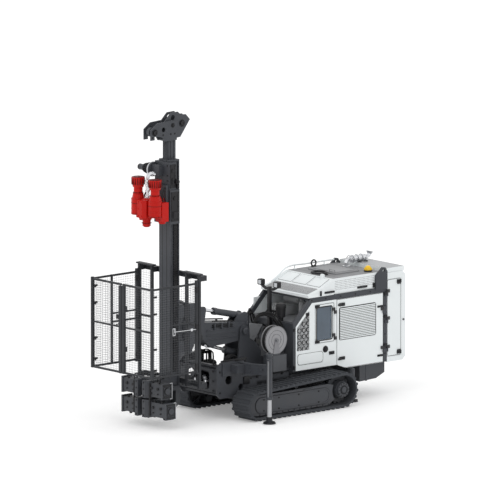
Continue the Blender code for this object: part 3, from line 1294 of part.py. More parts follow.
def make_guard_leaf(side, materials):
    """L-shaped guard leaf: hinge, corner and centre posts, rails and one side bar."""
    low, high = GUARD_Z
    r = GUARD_TUBE
    edge = mirrored(GUARD_HALF - r, GUARD_HALF + r, side)
    front = (GUARD_FRONT_X - r * 2, GUARD_FRONT_X)
    bar_x = GUARD_FRONT_X - 0.40
    parts = [box((GUARD_AXIS_X - r, GUARD_AXIS_X + r), edge, (low, high))]
    parts.append(box(front, edge, (low, high - 0.01)))
    parts.append(box(front, mirrored(0.006, 0.006 + GUARD_MIDDLE, side), (low, high - 0.06)))
    parts.append(box((bar_x - 0.013, bar_x + 0.013), mirrored(GUARD_HALF - 0.013, GUARD_HALF + 0.013, side),
                     (low + 0.01, high - 0.02)))
    thin = mirrored(GUARD_HALF - 0.013, GUARD_HALF + 0.013, side)
    front_thin = (front[0] + 0.005, front[1] - 0.005)
    for z in ((low + 0.004, low + 0.032), (high - 0.05, high - 0.022)):
        parts.append(box((GUARD_AXIS_X, front[1] - r), thin, z))
        parts.append(box(front_thin, mirrored(0.02, GUARD_HALF, side), (z[0] - 0.002, z[1] - 0.002)))
    for z in (1.49, 1.62):
        parts.append(box((GUARD_AXIS_X, bar_x), thin, (z, z + 0.022)))
    parts.append(box(front_thin, mirrored(0.02, GUARD_HALF, side), (1.55, 1.572)))
    return fuse("guard_leaf_" + suffix(side), materials["dark"], parts)


def build_fixed(materials):
    """Everything that stays on the crawler and the house."""
    make_chassis(materials)
    make_front_frame(materials)
    for side in (1, -1):
        make_track(side, materials)
        make_sprocket(side, materials)
        make_idler(side, materials)
        make_track_frame(side, materials)
        make_side_panel(side, materials)
        make_outrigger(side, materials)
        make_rear_jack(side, materials)
    make_house_frame(materials)
    make_bulkhead(materials)
    make_gauge_panel(materials)
    make_rear_housing(materials)
    make_hood(materials)
    make_roof(materials)
    make_engine(materials)
    make_tank(materials)
    make_exhaust(materials)
    make_beacon(materials)
    make_lamp_post(materials)
    make_air_filter(materials)
    make_reel_stand(materials)


def build_doors(materials):
    door, pane = make_window_door(materials)
    carry(axis_empty("window_door_axis", (hinge_axis_x(WINDOW_DOOR[0], -1), HINGE_Y, 1.27)), door, pane)
    for side in (1, -1):
        holder = axis_empty("grille_door_axis_" + suffix(side),
                            (hinge_axis_x(REAR_POST_X[1], -1), HINGE_Y * side, 1.06))
        carry(holder, make_grille_door(side, materials))
        holder = axis_empty("rear_door_axis_" + suffix(side),
                            (hinge_axis_x(REAR_POST_X[0], 1), HINGE_Y * side, 1.20))
        carry(holder, make_rear_door(side, materials))
    carry(axis_empty("hatch_axis", (HATCH[0], HATCH[2], ROOF_Z + SEAT)), make_hatch(materials))
    carry(axis_empty("reel_axis", (REEL_X, REEL_Y[0], REEL_Z)), make_reel(materials))


def build_legs(materials):
    table = (("front_leg_L", FRONT_JACK, 1, 0.72), ("front_leg_R", FRONT_JACK, -1, 0.72),
             ("rear_leg_L", REAR_JACK, 1, 0.335), ("rear_leg_R", REAR_JACK, -1, 0.335))
    for name, (x, y), side, top in table:
        holder = axis_empty(name + "_axis", (x, y * side, 0.0))
        carry(holder, make_leg(name, (x, y * side), top, materials))


def build_boom(materials):
    """The boom, its cylinders, the cradle and all that the mast carries."""
    boom_axis = axis_empty("boom_axis", place(BOOM_PIVOT, 0))
    carry(boom_axis, make_boom(materials))
    tube, piston = make_cylinder("lift", LIFT_BASE, LIFT_EYE, LIFT_R, 0.70, 0.10, materials)
    lift_axis = axis_empty("lift_axis", place(LIFT_BASE, 0))
    carry(lift_axis, tube, piston)
    tube, piston = make_cylinder("tilt", TILT_BASE, TILT_EYE, TILT_R, 0.58, 0.24, materials)
    tilt_axis = axis_empty("tilt_axis", place(TILT_BASE, 0))
    carry(tilt_axis, tube, piston)
    head_axis = axis_empty("head_axis", place(HEAD_PIVOT, 0))
    carry(head_axis, make_cradle(materials))
    swing_axis = axis_empty("swing_axis", (SWING_X, 0, HEAD_PIVOT[1]))
    carry(swing_axis, make_swing_plate(materials))
    mast_axis = axis_empty("mast_axis", (MAST_BACK_X, 0, MAST_Z[0]))
    clamps = [make_clamp("clamp_upper", (0.45, 0.71), (0.475, 0.475), materials),
              make_clamp("clamp_lower", (0.15, 0.42), (0.56, 0.475), materials)]
    carry(mast_axis, make_mast(materials), make_crown(materials), make_clamp_bracket(materials),
          make_guard_frame(materials), *clamps)
    feed_axis = axis_empty("feed_axis", (MAST_FRONT_X, 0, CARRIAGE_Z[0]))
    carry(feed_axis, make_carriage(materials), make_rotary_head(materials))
    carry(axis_empty("spindle_axis", (DRILL_X, 0, HEAD_Z[0])), make_spindle(materials))
    for side in (1, -1):
        holder = axis_empty("guard_axis_" + suffix(side), (GUARD_AXIS_X, GUARD_HALF * side, GUARD_Z[0]))
        carry(holder, make_guard_leaf(side, materials))


def main():
    clear_scene()
    materials = make_materials()
    build_fixed(materials)
    build_doors(materials)
    build_legs(materials)
    build_boom(materials)


main()
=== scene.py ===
"""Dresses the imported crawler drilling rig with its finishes, fittings and a plain studio."""
import json
import math

import bpy
from mathutils import Matrix, Vector


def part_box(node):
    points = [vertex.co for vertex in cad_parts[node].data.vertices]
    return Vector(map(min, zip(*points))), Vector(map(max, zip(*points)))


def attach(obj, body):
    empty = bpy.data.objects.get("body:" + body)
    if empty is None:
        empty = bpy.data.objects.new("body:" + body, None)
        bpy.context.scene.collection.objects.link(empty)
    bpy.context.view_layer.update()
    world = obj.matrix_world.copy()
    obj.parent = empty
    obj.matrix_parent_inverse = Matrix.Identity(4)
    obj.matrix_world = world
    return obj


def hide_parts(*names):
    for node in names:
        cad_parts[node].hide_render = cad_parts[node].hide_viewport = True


bl_info = {
    "name": "Crawler Drilling Rig",
    "version": (1, 0, 0),
    "blender": (4, 5, 0),
    "location": "View3D > Sidebar > Rig",
    "description": "Finishes and fittings of a compact crawler drilling rig",
    "category": "Object",
}

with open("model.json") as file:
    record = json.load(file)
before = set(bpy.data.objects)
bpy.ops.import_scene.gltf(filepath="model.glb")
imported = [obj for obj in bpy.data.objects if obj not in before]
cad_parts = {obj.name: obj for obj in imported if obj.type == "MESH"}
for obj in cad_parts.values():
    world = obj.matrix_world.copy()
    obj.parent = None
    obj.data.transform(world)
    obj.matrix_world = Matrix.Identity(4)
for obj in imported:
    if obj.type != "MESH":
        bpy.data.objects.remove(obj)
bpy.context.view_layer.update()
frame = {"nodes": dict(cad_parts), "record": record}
NODES = frame["nodes"]

SIDES = (("L", 1), ("R", -1))

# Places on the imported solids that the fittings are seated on
HOUSE_HALF = 0.55  # outer face of the side panels
ROOF_HALF = 0.529  # outer face of the roof's sides behind the hood
ROOF_TOP = 1.9295
GAUGE_FACE = 0.534  # outer face of the gauge plate
BAY_FLOOR = 1.329  # upper face of the deck in the open bay
LAMP_PLACE = (0.03, 1.895)  # y and z midway between the work lamps
TRACK_FACE = 0.84  # outer face of the track frames
SPROCKET = (-1.08, 0.275)  # x and z of the drive hubs
FRONT_JACK = (0.64, 1.13)  # x and y of the left front leg
REAR_JACK = (-1.51, 0.57)  # x and y of the left rear leg
REEL = (0.015, 1.13)  # x and z of the hose reel's axle
REEL_FACES = (0.4655, 0.5695)  # y of the reel's inner and outer disc
BOOM_PIN = (0.3, 1.25)  # x and z of the boom's pin
NOSE_HALF = 0.4505  # outer face of the nose frame
DRILL_X = 2.11  # axis of the spindle and of the rod clamps
MOTOR_Y = 0.195  # distance of the head's motors from the middle
SIDE_DRIVE = (1.835, 3.87)  # x and z of the drive on the carriage's right side


class RigColours(bpy.types.PropertyGroup):
    """Colours of the rig's finishes."""

    steel: bpy.props.FloatVectorProperty(
        name="Frame paint", description="Dark grey paint of the frame, boom and mast", subtype="COLOR",
        size=3, default=(0.054, 0.058, 0.067), min=0.0, max=1.0)
    panel: bpy.props.FloatVectorProperty(
        name="Panel paint", description="White paint of the house panels", subtype="COLOR", size=3,
        default=(0.84, 0.88, 0.89), min=0.0, max=1.0)
    head: bpy.props.FloatVectorProperty(
        name="Head paint", description="Red paint of the rotary head", subtype="COLOR", size=3,
        default=(0.52, 0.007, 0.003), min=0.0, max=1.0)
    roof: bpy.props.FloatVectorProperty(
        name="Roof paint", description="Grey paint of the roof", subtype="COLOR", size=3,
        default=(0.27, 0.275, 0.285), min=0.0, max=1.0)
    rubber: bpy.props.FloatVectorProperty(
        name="Track rubber", description="Rubber of the tracks", subtype="COLOR", size=3,
        default=(0.056, 0.059, 0.066), min=0.0, max=1.0)


class RigSizes(bpy.types.PropertyGroup):
    """Sizes of the fittings that repeat over the rig."""

    bolt: bpy.props.FloatProperty(
        name="Bolt head", description="Radius of an ordinary bolt head", default=0.012, min=0.004,
        max=0.03, unit="LENGTH")
    mesh_pitch: bpy.props.FloatProperty(
        name="Mesh pitch", description="Spacing of the guard's wires", default=0.036, min=0.015,
        max=0.1, unit="LENGTH")
    mesh_wire: bpy.props.FloatProperty(
        name="Mesh wire", description="Thickness of the guard's wires", default=0.0042, min=0.001,
        max=0.01, unit="LENGTH")
    hose: bpy.props.FloatProperty(
        name="Hose radius", description="Radius of an ordinary hydraulic hose", default=0.013,
        min=0.005, max=0.03, unit="LENGTH")


class StageSizes(bpy.types.PropertyGroup):
    """Camera and light settings."""

    azimuth: bpy.props.FloatProperty(
        name="Camera azimuth", description="Direction from the machine to the camera, from +X",
        default=math.radians(49.01), subtype="ANGLE")
    elevation: bpy.props.FloatProperty(
        name="Camera elevation", description="Camera height angle", default=math.radians(10.0),
        subtype="ANGLE")
    distance: bpy.props.FloatProperty(
        name="Camera distance", description="Distance from the aim point", default=240.0, unit="LENGTH")
    lens: bpy.props.FloatProperty(
        name="Lens", description="Focal length in millimetres", default=1140.0)
    aim: bpy.props.FloatVectorProperty(
        name="Aim point", description="Point in the middle of the picture", size=3,
        default=(0.0465, 0.0, 2.445), subtype="TRANSLATION", unit="LENGTH")
    light: bpy.props.FloatProperty(
        name="Light level", description="Strength of the studio light", default=1.0, min=0.0)


def group_tree(name, inputs, outputs):
    """New node group with its input and output nodes."""
    tree = bpy.data.node_groups.new(name, "ShaderNodeTree")
    for label, kind, default in inputs:
        socket = tree.interface.new_socket(name=label, in_out="INPUT", socket_type=kind)
        socket.default_value = default
    for label, kind in outputs:
        tree.interface.new_socket(name=label, in_out="OUTPUT", socket_type=kind)
    return tree, tree.nodes.new("NodeGroupInput"), tree.nodes.new("NodeGroupOutput")


def add_node(tree, kind, **values):
    node = tree.nodes.new(kind)
    for key, value in values.items():
        setattr(node, key, value)
    return node


def noise(tree, coords, scale, detail=4.0, rough=0.55):
    node = add_node(tree, "ShaderNodeTexNoise")
    node.inputs["Scale"].default_value = scale
    node.inputs["Detail"].default_value = detail
    node.inputs["Roughness"].default_value = rough
    tree.links.new(coords, node.inputs["Vector"])
    return node.outputs["Fac"]


def math_node(tree, operation, first, second=None, third=None):
    node = add_node(tree, "ShaderNodeMath", operation=operation)
    for index, value in enumerate((first, second, third)):
        if value is None:
            continue
        if isinstance(value, (int, float)):
            node.inputs[index].default_value = value
        else:
            tree.links.new(value, node.inputs[index])
    return node.outputs[0]


def ramp(tree, value, low, high):
    node = add_node(tree, "ShaderNodeMapRange", interpolation_type="SMOOTHSTEP")
    tree.links.new(value, node.inputs["Value"])
    node.inputs["From Min"].default_value = low
    node.inputs["From Max"].default_value = high
    return node.outputs["Result"]


def mix_colour(tree, factor, first, second, blend="MIX"):
    node = add_node(tree, "ShaderNodeMix", data_type="RGBA", blend_type=blend)
    for socket, value in ((node.inputs[0], factor), (node.inputs[6], first), (node.inputs[7], second)):
        if isinstance(value, bpy.types.NodeSocket):
            tree.links.new(value, socket)
        elif isinstance(value, (int, float)):
            socket.default_value = value
        else:
            socket.default_value = (*value[:3], 1.0)
    return node.outputs[2]


def split_axes(tree, socket):
    node = add_node(tree, "ShaderNodeSeparateXYZ")
    tree.links.new(socket, node.inputs[0])
    return node.outputs


def object_coords(tree):
    return add_node(tree, "ShaderNodeTexCoord").outputs["Object"]


def place_axes(tree):
    """X, Y and Z of the shaded point on its object."""
    return split_axes(tree, object_coords(tree))


def facing_axes(tree):
    """X, Y and Z of the way that the surface faces."""
    return split_axes(tree, add_node(tree, "ShaderNodeNewGeometry").outputs["Normal"])


def upward(tree):
    """1 on faces that look up."""
    return math_node(tree, "GREATER_THAN", facing_axes(tree)["Z"], 0.8)


def make_weather_group():
    """Paint that fades in patches, with dust that settles low and on top faces."""
    tree, source, sink = group_tree(
        "paint_weather",
        (("Colour", "NodeSocketColor", (0.5, 0.5, 0.5, 1.0)),
         ("Dust colour", "NodeSocketColor", (0.3, 0.27, 0.22, 1.0)),
         ("Dust", "NodeSocketFloat", 0.3), ("Fade", "NodeSocketFloat", 0.1),
         ("Rough", "NodeSocketFloat", 0.45), ("Scale", "NodeSocketFloat", 1.0)),
        (("Colour", "NodeSocketColor"), ("Roughness", "NodeSocketFloat"),
         ("Height", "NodeSocketFloat")))
    coords = object_coords(tree)
    scaled = add_node(tree, "ShaderNodeVectorMath", operation="SCALE")
    tree.links.new(coords, scaled.inputs[0])
    tree.links.new(source.outputs["Scale"], scaled.inputs["Scale"])
    place = scaled.outputs[0]
    patches = ramp(tree, noise(tree, place, 2.2, 5.0), 0.35, 0.7)
    specks = ramp(tree, noise(tree, place, 60.0, 3.0), 0.5, 0.75)
    low = ramp(tree, split_axes(tree, coords)["Z"], 0.9, 0.0)
    top = ramp(tree, facing_axes(tree)["Z"], 0.5, 1.0)
    settle = math_node(tree, "MAXIMUM", math_node(tree, "MULTIPLY", low, 0.8),
                       math_node(tree, "MULTIPLY", top, 0.7))
    blotch = math_node(tree, "MULTIPLY_ADD", patches, 0.7, math_node(tree, "MULTIPLY", specks, 0.3))
    amount = math_node(tree, "MULTIPLY", math_node(tree, "MULTIPLY", settle, blotch),
                       source.outputs["Dust"])
    dark = mix_colour(tree, math_node(tree, "MULTIPLY", patches, source.outputs["Fade"]),
                      source.outputs["Colour"], (0.0, 0.0, 0.0))
    colour = mix_colour(tree, amount, dark, source.outputs["Dust colour"])
    rough = math_node(tree, "ADD", source.outputs["Rough"],
                      math_node(tree, "MULTIPLY_ADD", patches, 0.12,
                                math_node(tree, "MULTIPLY", amount, 0.4)))
    height = math_node(tree, "MULTIPLY_ADD", noise(tree, place, 260.0, 2.0), 0.6,
                       math_node(tree, "MULTIPLY", noise(tree, place, 30.0, 2.0), 0.4))
    tree.links.new(colour, sink.inputs["Colour"])
    tree.links.new(rough, sink.inputs["Roughness"])
    tree.links.new(height, sink.inputs["Height"])


def make_hole_group():
    """Rows of round holes on whichever plane a face lies in."""
    tree, source, sink = group_tree(
        "punched_holes", (("Pitch", "NodeSocketFloat", 0.03), ("Size", "NodeSocketFloat", 0.3)),
        (("Mask", "NodeSocketFloat"),))
    place = place_axes(tree)
    facing = facing_axes(tree)
    squares = []
    for axis in ("X", "Z"):
        turned = math_node(tree, "GREATER_THAN", math_node(tree, "ABSOLUTE", facing[axis]), 0.8)
        swap = math_node(tree, "SUBTRACT", place["Y"], place[axis])
        along = math_node(tree, "MULTIPLY_ADD", swap, turned, place[axis])
        cell = math_node(tree, "FRACT", math_node(tree, "DIVIDE", along, source.outputs["Pitch"]))
        squares.append(math_node(tree, "POWER", math_node(tree, "SUBTRACT", cell, 0.5), 2.0))
    radius = math_node(tree, "SQRT", math_node(tree, "ADD", squares[0], squares[1]))
    tree.links.new(math_node(tree, "LESS_THAN", radius, source.outputs["Size"]), sink.inputs["Mask"])


DUST_COLOUR = (0.34, 0.31, 0.27)
PAD_TOP = 0.105  # upper edge of the jack legs' pads
BRACKET_FOOT = 0.925  # lower edge of the reel stand's pale triangle
HOLE_ROWS = (1.735, 1.905)  # lowest and highest holes in the roof's sides
HOLE_FRONT = -1.2  # where those holes end towards the hood
SEAM_PITCH = 0.165  # spacing of the seams across the roof
SEAM_HALF = 0.005
GROOVE_Y = 0.05  # distance of the mast's grooves from its middle
GROOVE_HALF = 0.006


def new_material(name):
    material = bpy.data.materials.new(name)
    material.use_nodes = True
    tree = material.node_tree
    return material, tree, tree.nodes["Principled BSDF"]


def painted(name, colour, rough, dust, fade=0.08, metallic=0.0, bump=0.1, scale=1.0, over=None):
    """Surface that carries the shared weathering; over adds a pattern of its own to the colour."""
    material, tree, shader = new_material(name)
    group = add_node(tree, "ShaderNodeGroup", node_tree=bpy.data.node_groups["paint_weather"])
    group.inputs["Colour"].default_value = (*colour, 1.0)
    group.inputs["Dust colour"].default_value = (*DUST_COLOUR, 1.0)
    group.inputs["Dust"].default_value = dust
    group.inputs["Fade"].default_value = fade
    group.inputs["Rough"].default_value = rough
    group.inputs["Scale"].default_value = scale
    shader.inputs["Metallic"].default_value = metallic
    shown = group.outputs["Colour"]
    if over:
        shown = over(tree, shown)
    tree.links.new(shown, shader.inputs["Base Color"])
    tree.links.new(group.outputs["Roughness"], shader.inputs["Roughness"])
    relief = add_node(tree, "ShaderNodeBump")
    relief.inputs["Strength"].default_value = bump
    relief.inputs["Distance"].default_value = 0.001
    tree.links.new(group.outputs["Height"], relief.inputs["Height"])
    tree.links.new(relief.outputs["Normal"], shader.inputs["Normal"])
    return material


def holes(tree, pitch, size):
    group = add_node(tree, "ShaderNodeGroup", node_tree=bpy.data.node_groups["punched_holes"])
    group.inputs["Pitch"].default_value = pitch
    group.inputs["Size"].default_value = size
    return group.outputs["Mask"]


def black_hinges(tree, colour):
    """Knuckles that stand proud of the side faces are black."""
    proud = math_node(tree, "GREATER_THAN", math_node(tree, "ABSOLUTE", place_axes(tree)["Y"]),
                      HOUSE_HALF + 0.0015)
    return mix_colour(tree, proud, colour, (0.02, 0.02, 0.022))


def grey_top(tree, colour):
    """Upward faces are grey sheet, the rest is as black_hinges leaves it."""
    return mix_colour(tree, upward(tree), black_hinges(tree, colour), (0.4, 0.41, 0.42))


def dark_foot(tree, colour):
    """The pad at the foot of a jack leg is dark, above it the leg is bare steel."""
    pad = math_node(tree, "LESS_THAN", place_axes(tree)["Z"], PAD_TOP)
    return mix_colour(tree, pad, colour, (0.02, 0.021, 0.025))


def pale_bracket(tree, colour):
    """The upper triangle of the reel's stand is as pale as the reel."""
    raised = math_node(tree, "GREATER_THAN", place_axes(tree)["Z"], BRACKET_FOOT)
    return mix_colour(tree, raised, colour, (0.22, 0.22, 0.235))


def roof_sheet(tree, colour):
    """Grey chequered top with seams, and white sides with rows of fine holes."""
    place = place_axes(tree)
    panel = bpy.context.scene.rig_colours.panel
    above = math_node(tree, "GREATER_THAN", place["Z"], HOLE_ROWS[0])
    below = math_node(tree, "LESS_THAN", place["Z"], HOLE_ROWS[1])
    behind = math_node(tree, "LESS_THAN", place["X"], HOLE_FRONT)
    inside = math_node(tree, "MULTIPLY", above, math_node(tree, "MULTIPLY", below, behind))
    side = mix_colour(tree, math_node(tree, "MULTIPLY", holes(tree, 0.026, 0.26), inside), panel,
                      (0.22, 0.22, 0.23))
    seam = math_node(tree, "LESS_THAN", math_node(tree, "PINGPONG", place["X"], SEAM_PITCH), SEAM_HALF)
    sheet = mix_colour(tree, holes(tree, 0.022, 0.2), colour, (0.17, 0.17, 0.18))
    sheet = mix_colour(tree, seam, sheet, (0.06, 0.06, 0.065))
    return mix_colour(tree, upward(tree), side, sheet)


def punched(tree, colour):
    """Rows of fine dark holes."""
    return mix_colour(tree, holes(tree, 0.016, 0.3), colour, (0.07, 0.07, 0.075))


def mast_grooves(tree, colour):
    """Two dark grooves down the mast's front and back faces."""
    front = math_node(tree, "GREATER_THAN", math_node(tree, "ABSOLUTE", facing_axes(tree)["X"]), 0.7)
    across_face = math_node(tree, "ABSOLUTE", place_axes(tree)["Y"])
    off = math_node(tree, "ABSOLUTE", math_node(tree, "SUBTRACT", across_face, GROOVE_Y))
    groove = math_node(tree, "MULTIPLY", front, math_node(tree, "LESS_THAN", off, GROOVE_HALF))
    return mix_colour(tree, groove, colour, (0.008, 0.008, 0.009))


def track_scuffs(tree, colour):
    """Paler scuffed crests where the lugs meet the ground."""
    coords = object_coords(tree)
    crest = ramp(tree, split_axes(tree, coords)["Z"], 0.05, 0.0)
    patch = ramp(tree, noise(tree, coords, 18.0, 4.0), 0.4, 0.7)
    return mix_colour(tree, math_node(tree, "MULTIPLY", crest, patch), colour, (0.12, 0.115, 0.105))


def make_materials():
    """All finishes; each gives colour, roughness, dust and what differs from an ordinary paint."""
    colours = bpy.context.scene.rig_colours
    make_weather_group()
    make_hole_group()
    painted("frame_paint", colours.steel, 0.42, 0.1)
    painted("mast_paint", [c * 1.04 for c in colours.steel], 0.4, 0.06, over=mast_grooves)
    painted("guard_paint", [c * 0.5 for c in colours.steel], 0.42, 0.05)
    painted("panel_paint", colours.panel, 0.38, 0.08, 0.02, over=black_hinges)
    painted("housing_paint", colours.panel, 0.38, 0.08, 0.02, over=grey_top)
    painted("panel_trim", colours.panel, 0.38, 0.05, 0.02)
    painted("head_paint", colours.head, 0.3, 0.03, 0.1)
    # head_paint_shaded is the head's red darkened: painted shade on the motor caps, their ribs and the
    # head's seams
    painted("head_paint_shaded", [c * 0.22 for c in colours.head], 0.4, 0.03, 0.15)
    painted("roof_paint", [c * 0.9 for c in colours.roof], 0.5, 0.1, over=roof_sheet)
    painted("roof_trim", colours.roof, 0.5, 0.1)
    painted("punched_sheet", (0.42, 0.43, 0.44), 0.45, 0.05, over=punched)
    painted("track_rubber", colours.rubber, 0.72, 0.22, 0.2, bump=0.5, over=track_scuffs)
    painted("black_fitting", (0.014, 0.014, 0.016), 0.42, 0.04)
    # Black of the rubber seals and black parts, also used for dark strips and sheets that are painted
    # shade in gaps, recesses and behind louvres
    painted("rubber_and_painted_shade", (0.012, 0.012, 0.013), 0.7, 0.05, bump=0.3)
    painted("hose_rubber", (0.01, 0.01, 0.011), 0.55, 0.05, bump=0.25, scale=2.0)
    painted("grey_fitting", (0.17, 0.175, 0.185), 0.42, 0.06)
    painted("gauge_plate", (0.4, 0.41, 0.42), 0.38, 0.04)
    painted("reel_paint", (0.3, 0.3, 0.315), 0.4, 0.05)
    painted("leg_steel", (0.5, 0.51, 0.53), 0.3, 0.03, metallic=0.6, over=dark_foot)
    painted("stand_paint", colours.steel, 0.42, 0.08, over=pale_bracket)
    painted("bright_steel", (0.66, 0.67, 0.69), 0.24, 0.03, 0.08, metallic=1.0)
    painted("wire_zinc", (0.12, 0.125, 0.135), 0.45, 0.05, metallic=0.3)
    painted("cast_block", (0.12, 0.12, 0.115), 0.7, 0.3)
    painted("amber_lens", (0.96, 0.6, 0.015), 0.16, 0.0, 0.12)
    painted("lamp_lens", (0.74, 0.77, 0.8), 0.12, 0.02)
    painted("dial_face", (0.38, 0.385, 0.39), 0.35, 0.02)
    painted("window_pane", (0.06, 0.092, 0.13), 0.08, 0.06, 0.25, bump=0.02)
    dark = ("frame_paint", "mast_paint", "guard_paint", "track_rubber", "black_fitting", "rubber_and_painted_shade",
            "hose_rubber")
    for names, socket, value in ((dark, "Specular IOR Level", 0.3),
                                 (("head_paint", "head_paint_shaded"), "Specular IOR Level", 0.2),
                                 (("window_pane",), "Coat Weight", 0.5)):
        for name in names:
            shader = bpy.data.materials[name].node_tree.nodes["Principled BSDF"]
            shader.inputs[socket].default_value = value


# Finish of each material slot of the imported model
SLOT_FINISH = {
    "dark_steel": "frame_paint", "black_trim": "black_fitting", "track_rubber": "track_rubber",
    "white_panel": "panel_paint", "grey_part": "grey_fitting", "roof_panel": "roof_paint",
    "red_head": "head_paint", "chromed": "bright_steel", "engine_iron": "cast_block",
    "pane": "window_pane", "lens": "amber_lens",
}
# Solids whose finish isn't the one of their slot
NODE_FINISH = {
    "guard_frame": "guard_paint", "guard_leaf_L": "guard_paint", "guard_leaf_R": "guard_paint",
    "front_leg_L": "leg_steel", "front_leg_R": "leg_steel", "rear_leg_L": "leg_steel",
    "rear_leg_R": "leg_steel", "reel_stand": "stand_paint", "hose_reel": "reel_paint",
    "mast": "mast_paint", "crown": "mast_paint", "carriage": "frame_paint",
    "gauge_panel": "gauge_plate", "rear_housing": "housing_paint", "roof_hatch": "roof_trim",
}
# Slot that each finish belongs to; gather looks it up but gives the pieces no slot
FINISH_SLOT = {
    "frame_paint": "dark_steel", "mast_paint": "dark_steel", "wire_zinc": "dark_steel",
    "black_fitting": "black_trim", "rubber_and_painted_shade": "black_trim", "hose_rubber": "black_trim",
    "panel_trim": "white_panel", "punched_sheet": "roof_panel", "grey_fitting": "grey_part",
    "gauge_plate": "grey_part", "dial_face": "grey_part", "head_paint": "red_head",
    "head_paint_shaded": "red_head", "bright_steel": "chromed", "cast_block": "engine_iron",
    "amber_lens": "lens", "lamp_lens": "pane",
}


SMOOTH_ANGLE = math.radians(32.0)


def wipe():
    """Object mode with nothing selected."""
    if bpy.context.object and bpy.context.object.mode != "OBJECT":
        bpy.ops.object.mode_set(mode="OBJECT")
    bpy.ops.object.select_all(action="DESELECT")


def pick(*items):
    """Select the items, the first one active."""
    wipe()
    for item in items:
        item.select_set(True)
    bpy.context.view_layer.objects.active = items[0]


def settle(item):
    """Move the object's place, turn and scale into its mesh."""
    pick(item)
    bpy.ops.object.transform_apply(location=True, rotation=True, scale=True)
    return item


def modify(item, kind, **values):
    pick(item)
    modifier = item.modifiers.new(kind.lower(), kind)
    for key, value in values.items():
        setattr(modifier, key, value)
    bpy.ops.object.modifier_apply(modifier=modifier.name)
    return item


def soften(item, width, segments=2):
    return modify(item, "BEVEL", width=width, segments=segments, limit_method="ANGLE", angle_limit=0.6)


def choose(item, test):
    """Edit mode with the faces that pass the test selected."""
    pick(item)
    bpy.ops.object.mode_set(mode="EDIT")
    bpy.ops.mesh.select_mode(type="FACE")
    bpy.ops.mesh.select_all(action="DESELECT")
    bpy.ops.object.mode_set(mode="OBJECT")
    for face in item.data.polygons:
        face.select = test(face)
    bpy.ops.object.mode_set(mode="EDIT")


def inset(item, test, width, rise):
    """Inset the chosen faces, then raise or sink their middle with upright walls."""
    choose(item, test)
    bpy.ops.mesh.inset(thickness=width, depth=0.0)
    bpy.ops.mesh.inset(thickness=0.0002, depth=rise)
    bpy.ops.object.mode_set(mode="OBJECT")
    return item


def block(x, y, z, edge=0.003, segments=2):
    """Block between its corner values, with rounded edges."""
    wipe()
    bpy.ops.mesh.primitive_cube_add(size=1.0, location=[(a + b) / 2.0 for a, b in (x, y, z)])
    item = bpy.context.object
    item.scale = [abs(b - a) for a, b in (x, y, z)]
    settle(item)
    return soften(item, edge, segments) if edge else item


def rod(start, end, radius, tip=None, sides=20, edge=0.0015):
    """Round bar or cone from one point to another, with rounded rims."""
    start = Vector(start)
    end = Vector(end)
    way = end - start
    wipe()
    bpy.ops.mesh.primitive_cone_add(
        vertices=sides, radius1=radius, radius2=radius if tip is None else tip, depth=way.length,
        location=(start + end) / 2.0, rotation=way.to_track_quat("Z", "Y").to_euler())
    item = settle(bpy.context.object)
    return soften(item, edge, 1) if edge else item


def ring(centre, way, major, minor, turns=28, sides=8):
    """Round loop about the way that its axis points."""
    wipe()
    bpy.ops.mesh.primitive_torus_add(
        major_radius=major, minor_radius=minor, major_segments=turns, minor_segments=sides,
        location=centre, rotation=Vector(way).to_track_quat("Z", "Y").to_euler())
    return settle(bpy.context.object)


def dome(centre, radii):
    """Upper half of a flattened ball, closed below."""
    wipe()
    bpy.ops.mesh.primitive_uv_sphere_add(segments=20, ring_count=20, radius=1.0)
    item = bpy.context.object
    bpy.ops.object.mode_set(mode="EDIT")
    bpy.ops.mesh.select_all(action="SELECT")
    bpy.ops.mesh.bisect(plane_co=(0, 0, 0), plane_no=(0, 0, 1), use_fill=True, clear_inner=True)
    bpy.ops.object.mode_set(mode="OBJECT")
    item.scale = radii
    item.location = centre
    return settle(item)


def plate(outline, axis, low, high, edge=0.002):
    """Outline drawn across one axis and extruded along it."""
    order = {"x": (1, 2, 0), "y": (0, 2, 1), "z": (0, 1, 2)}[axis]
    wipe()
    bpy.ops.mesh.primitive_circle_add(vertices=len(outline), radius=1.0, fill_type="NGON")
    item = bpy.context.object
    for vertex, (first, second) in zip(item.data.vertices, outline):
        place = [0.0, 0.0, 0.0]
        place[order[0]] = first
        place[order[1]] = second
        place[order[2]] = low
        vertex.co = place
    move = [0.0, 0.0, 0.0]
    move[order[2]] = high - low
    bpy.ops.object.mode_set(mode="EDIT")
    bpy.ops.mesh.select_all(action="SELECT")
    bpy.ops.mesh.extrude_region_move(TRANSFORM_OT_translate={"value": move})
    bpy.ops.mesh.select_all(action="SELECT")
    bpy.ops.mesh.normals_make_consistent(inside=False)
    bpy.ops.object.mode_set(mode="OBJECT")
    return soften(item, edge) if edge else item


def pill(x, z, radius, steps=6):
    """Outline of a rectangle with round corners."""
    points = []
    for cx, cz, start in ((x[1] - radius, z[1] - radius, 0), (x[0] + radius, z[1] - radius, 90),
                          (x[0] + radius, z[0] + radius, 180), (x[1] - radius, z[0] + radius, 270)):
        for step in range(steps + 1):
            angle = math.radians(start + 90.0 * step / steps)
            points.append((cx + radius * math.cos(angle), cz + radius * math.sin(angle)))
    return points


def frame_ring(outline, axis, low, high, width, edge=0.0):
    """Flat loop of the outline's shape, such as a seal: a plate opened right through."""
    item = plate(outline, axis, low, high, 0.0)
    choose(item, lambda face: abs(face.normal["xyz".index(axis)]) > 0.95)
    bpy.ops.mesh.inset(thickness=width, depth=0.0)
    bpy.ops.mesh.bridge_edge_loops()
    bpy.ops.object.mode_set(mode="OBJECT")
    return soften(item, edge, 1) if edge else item


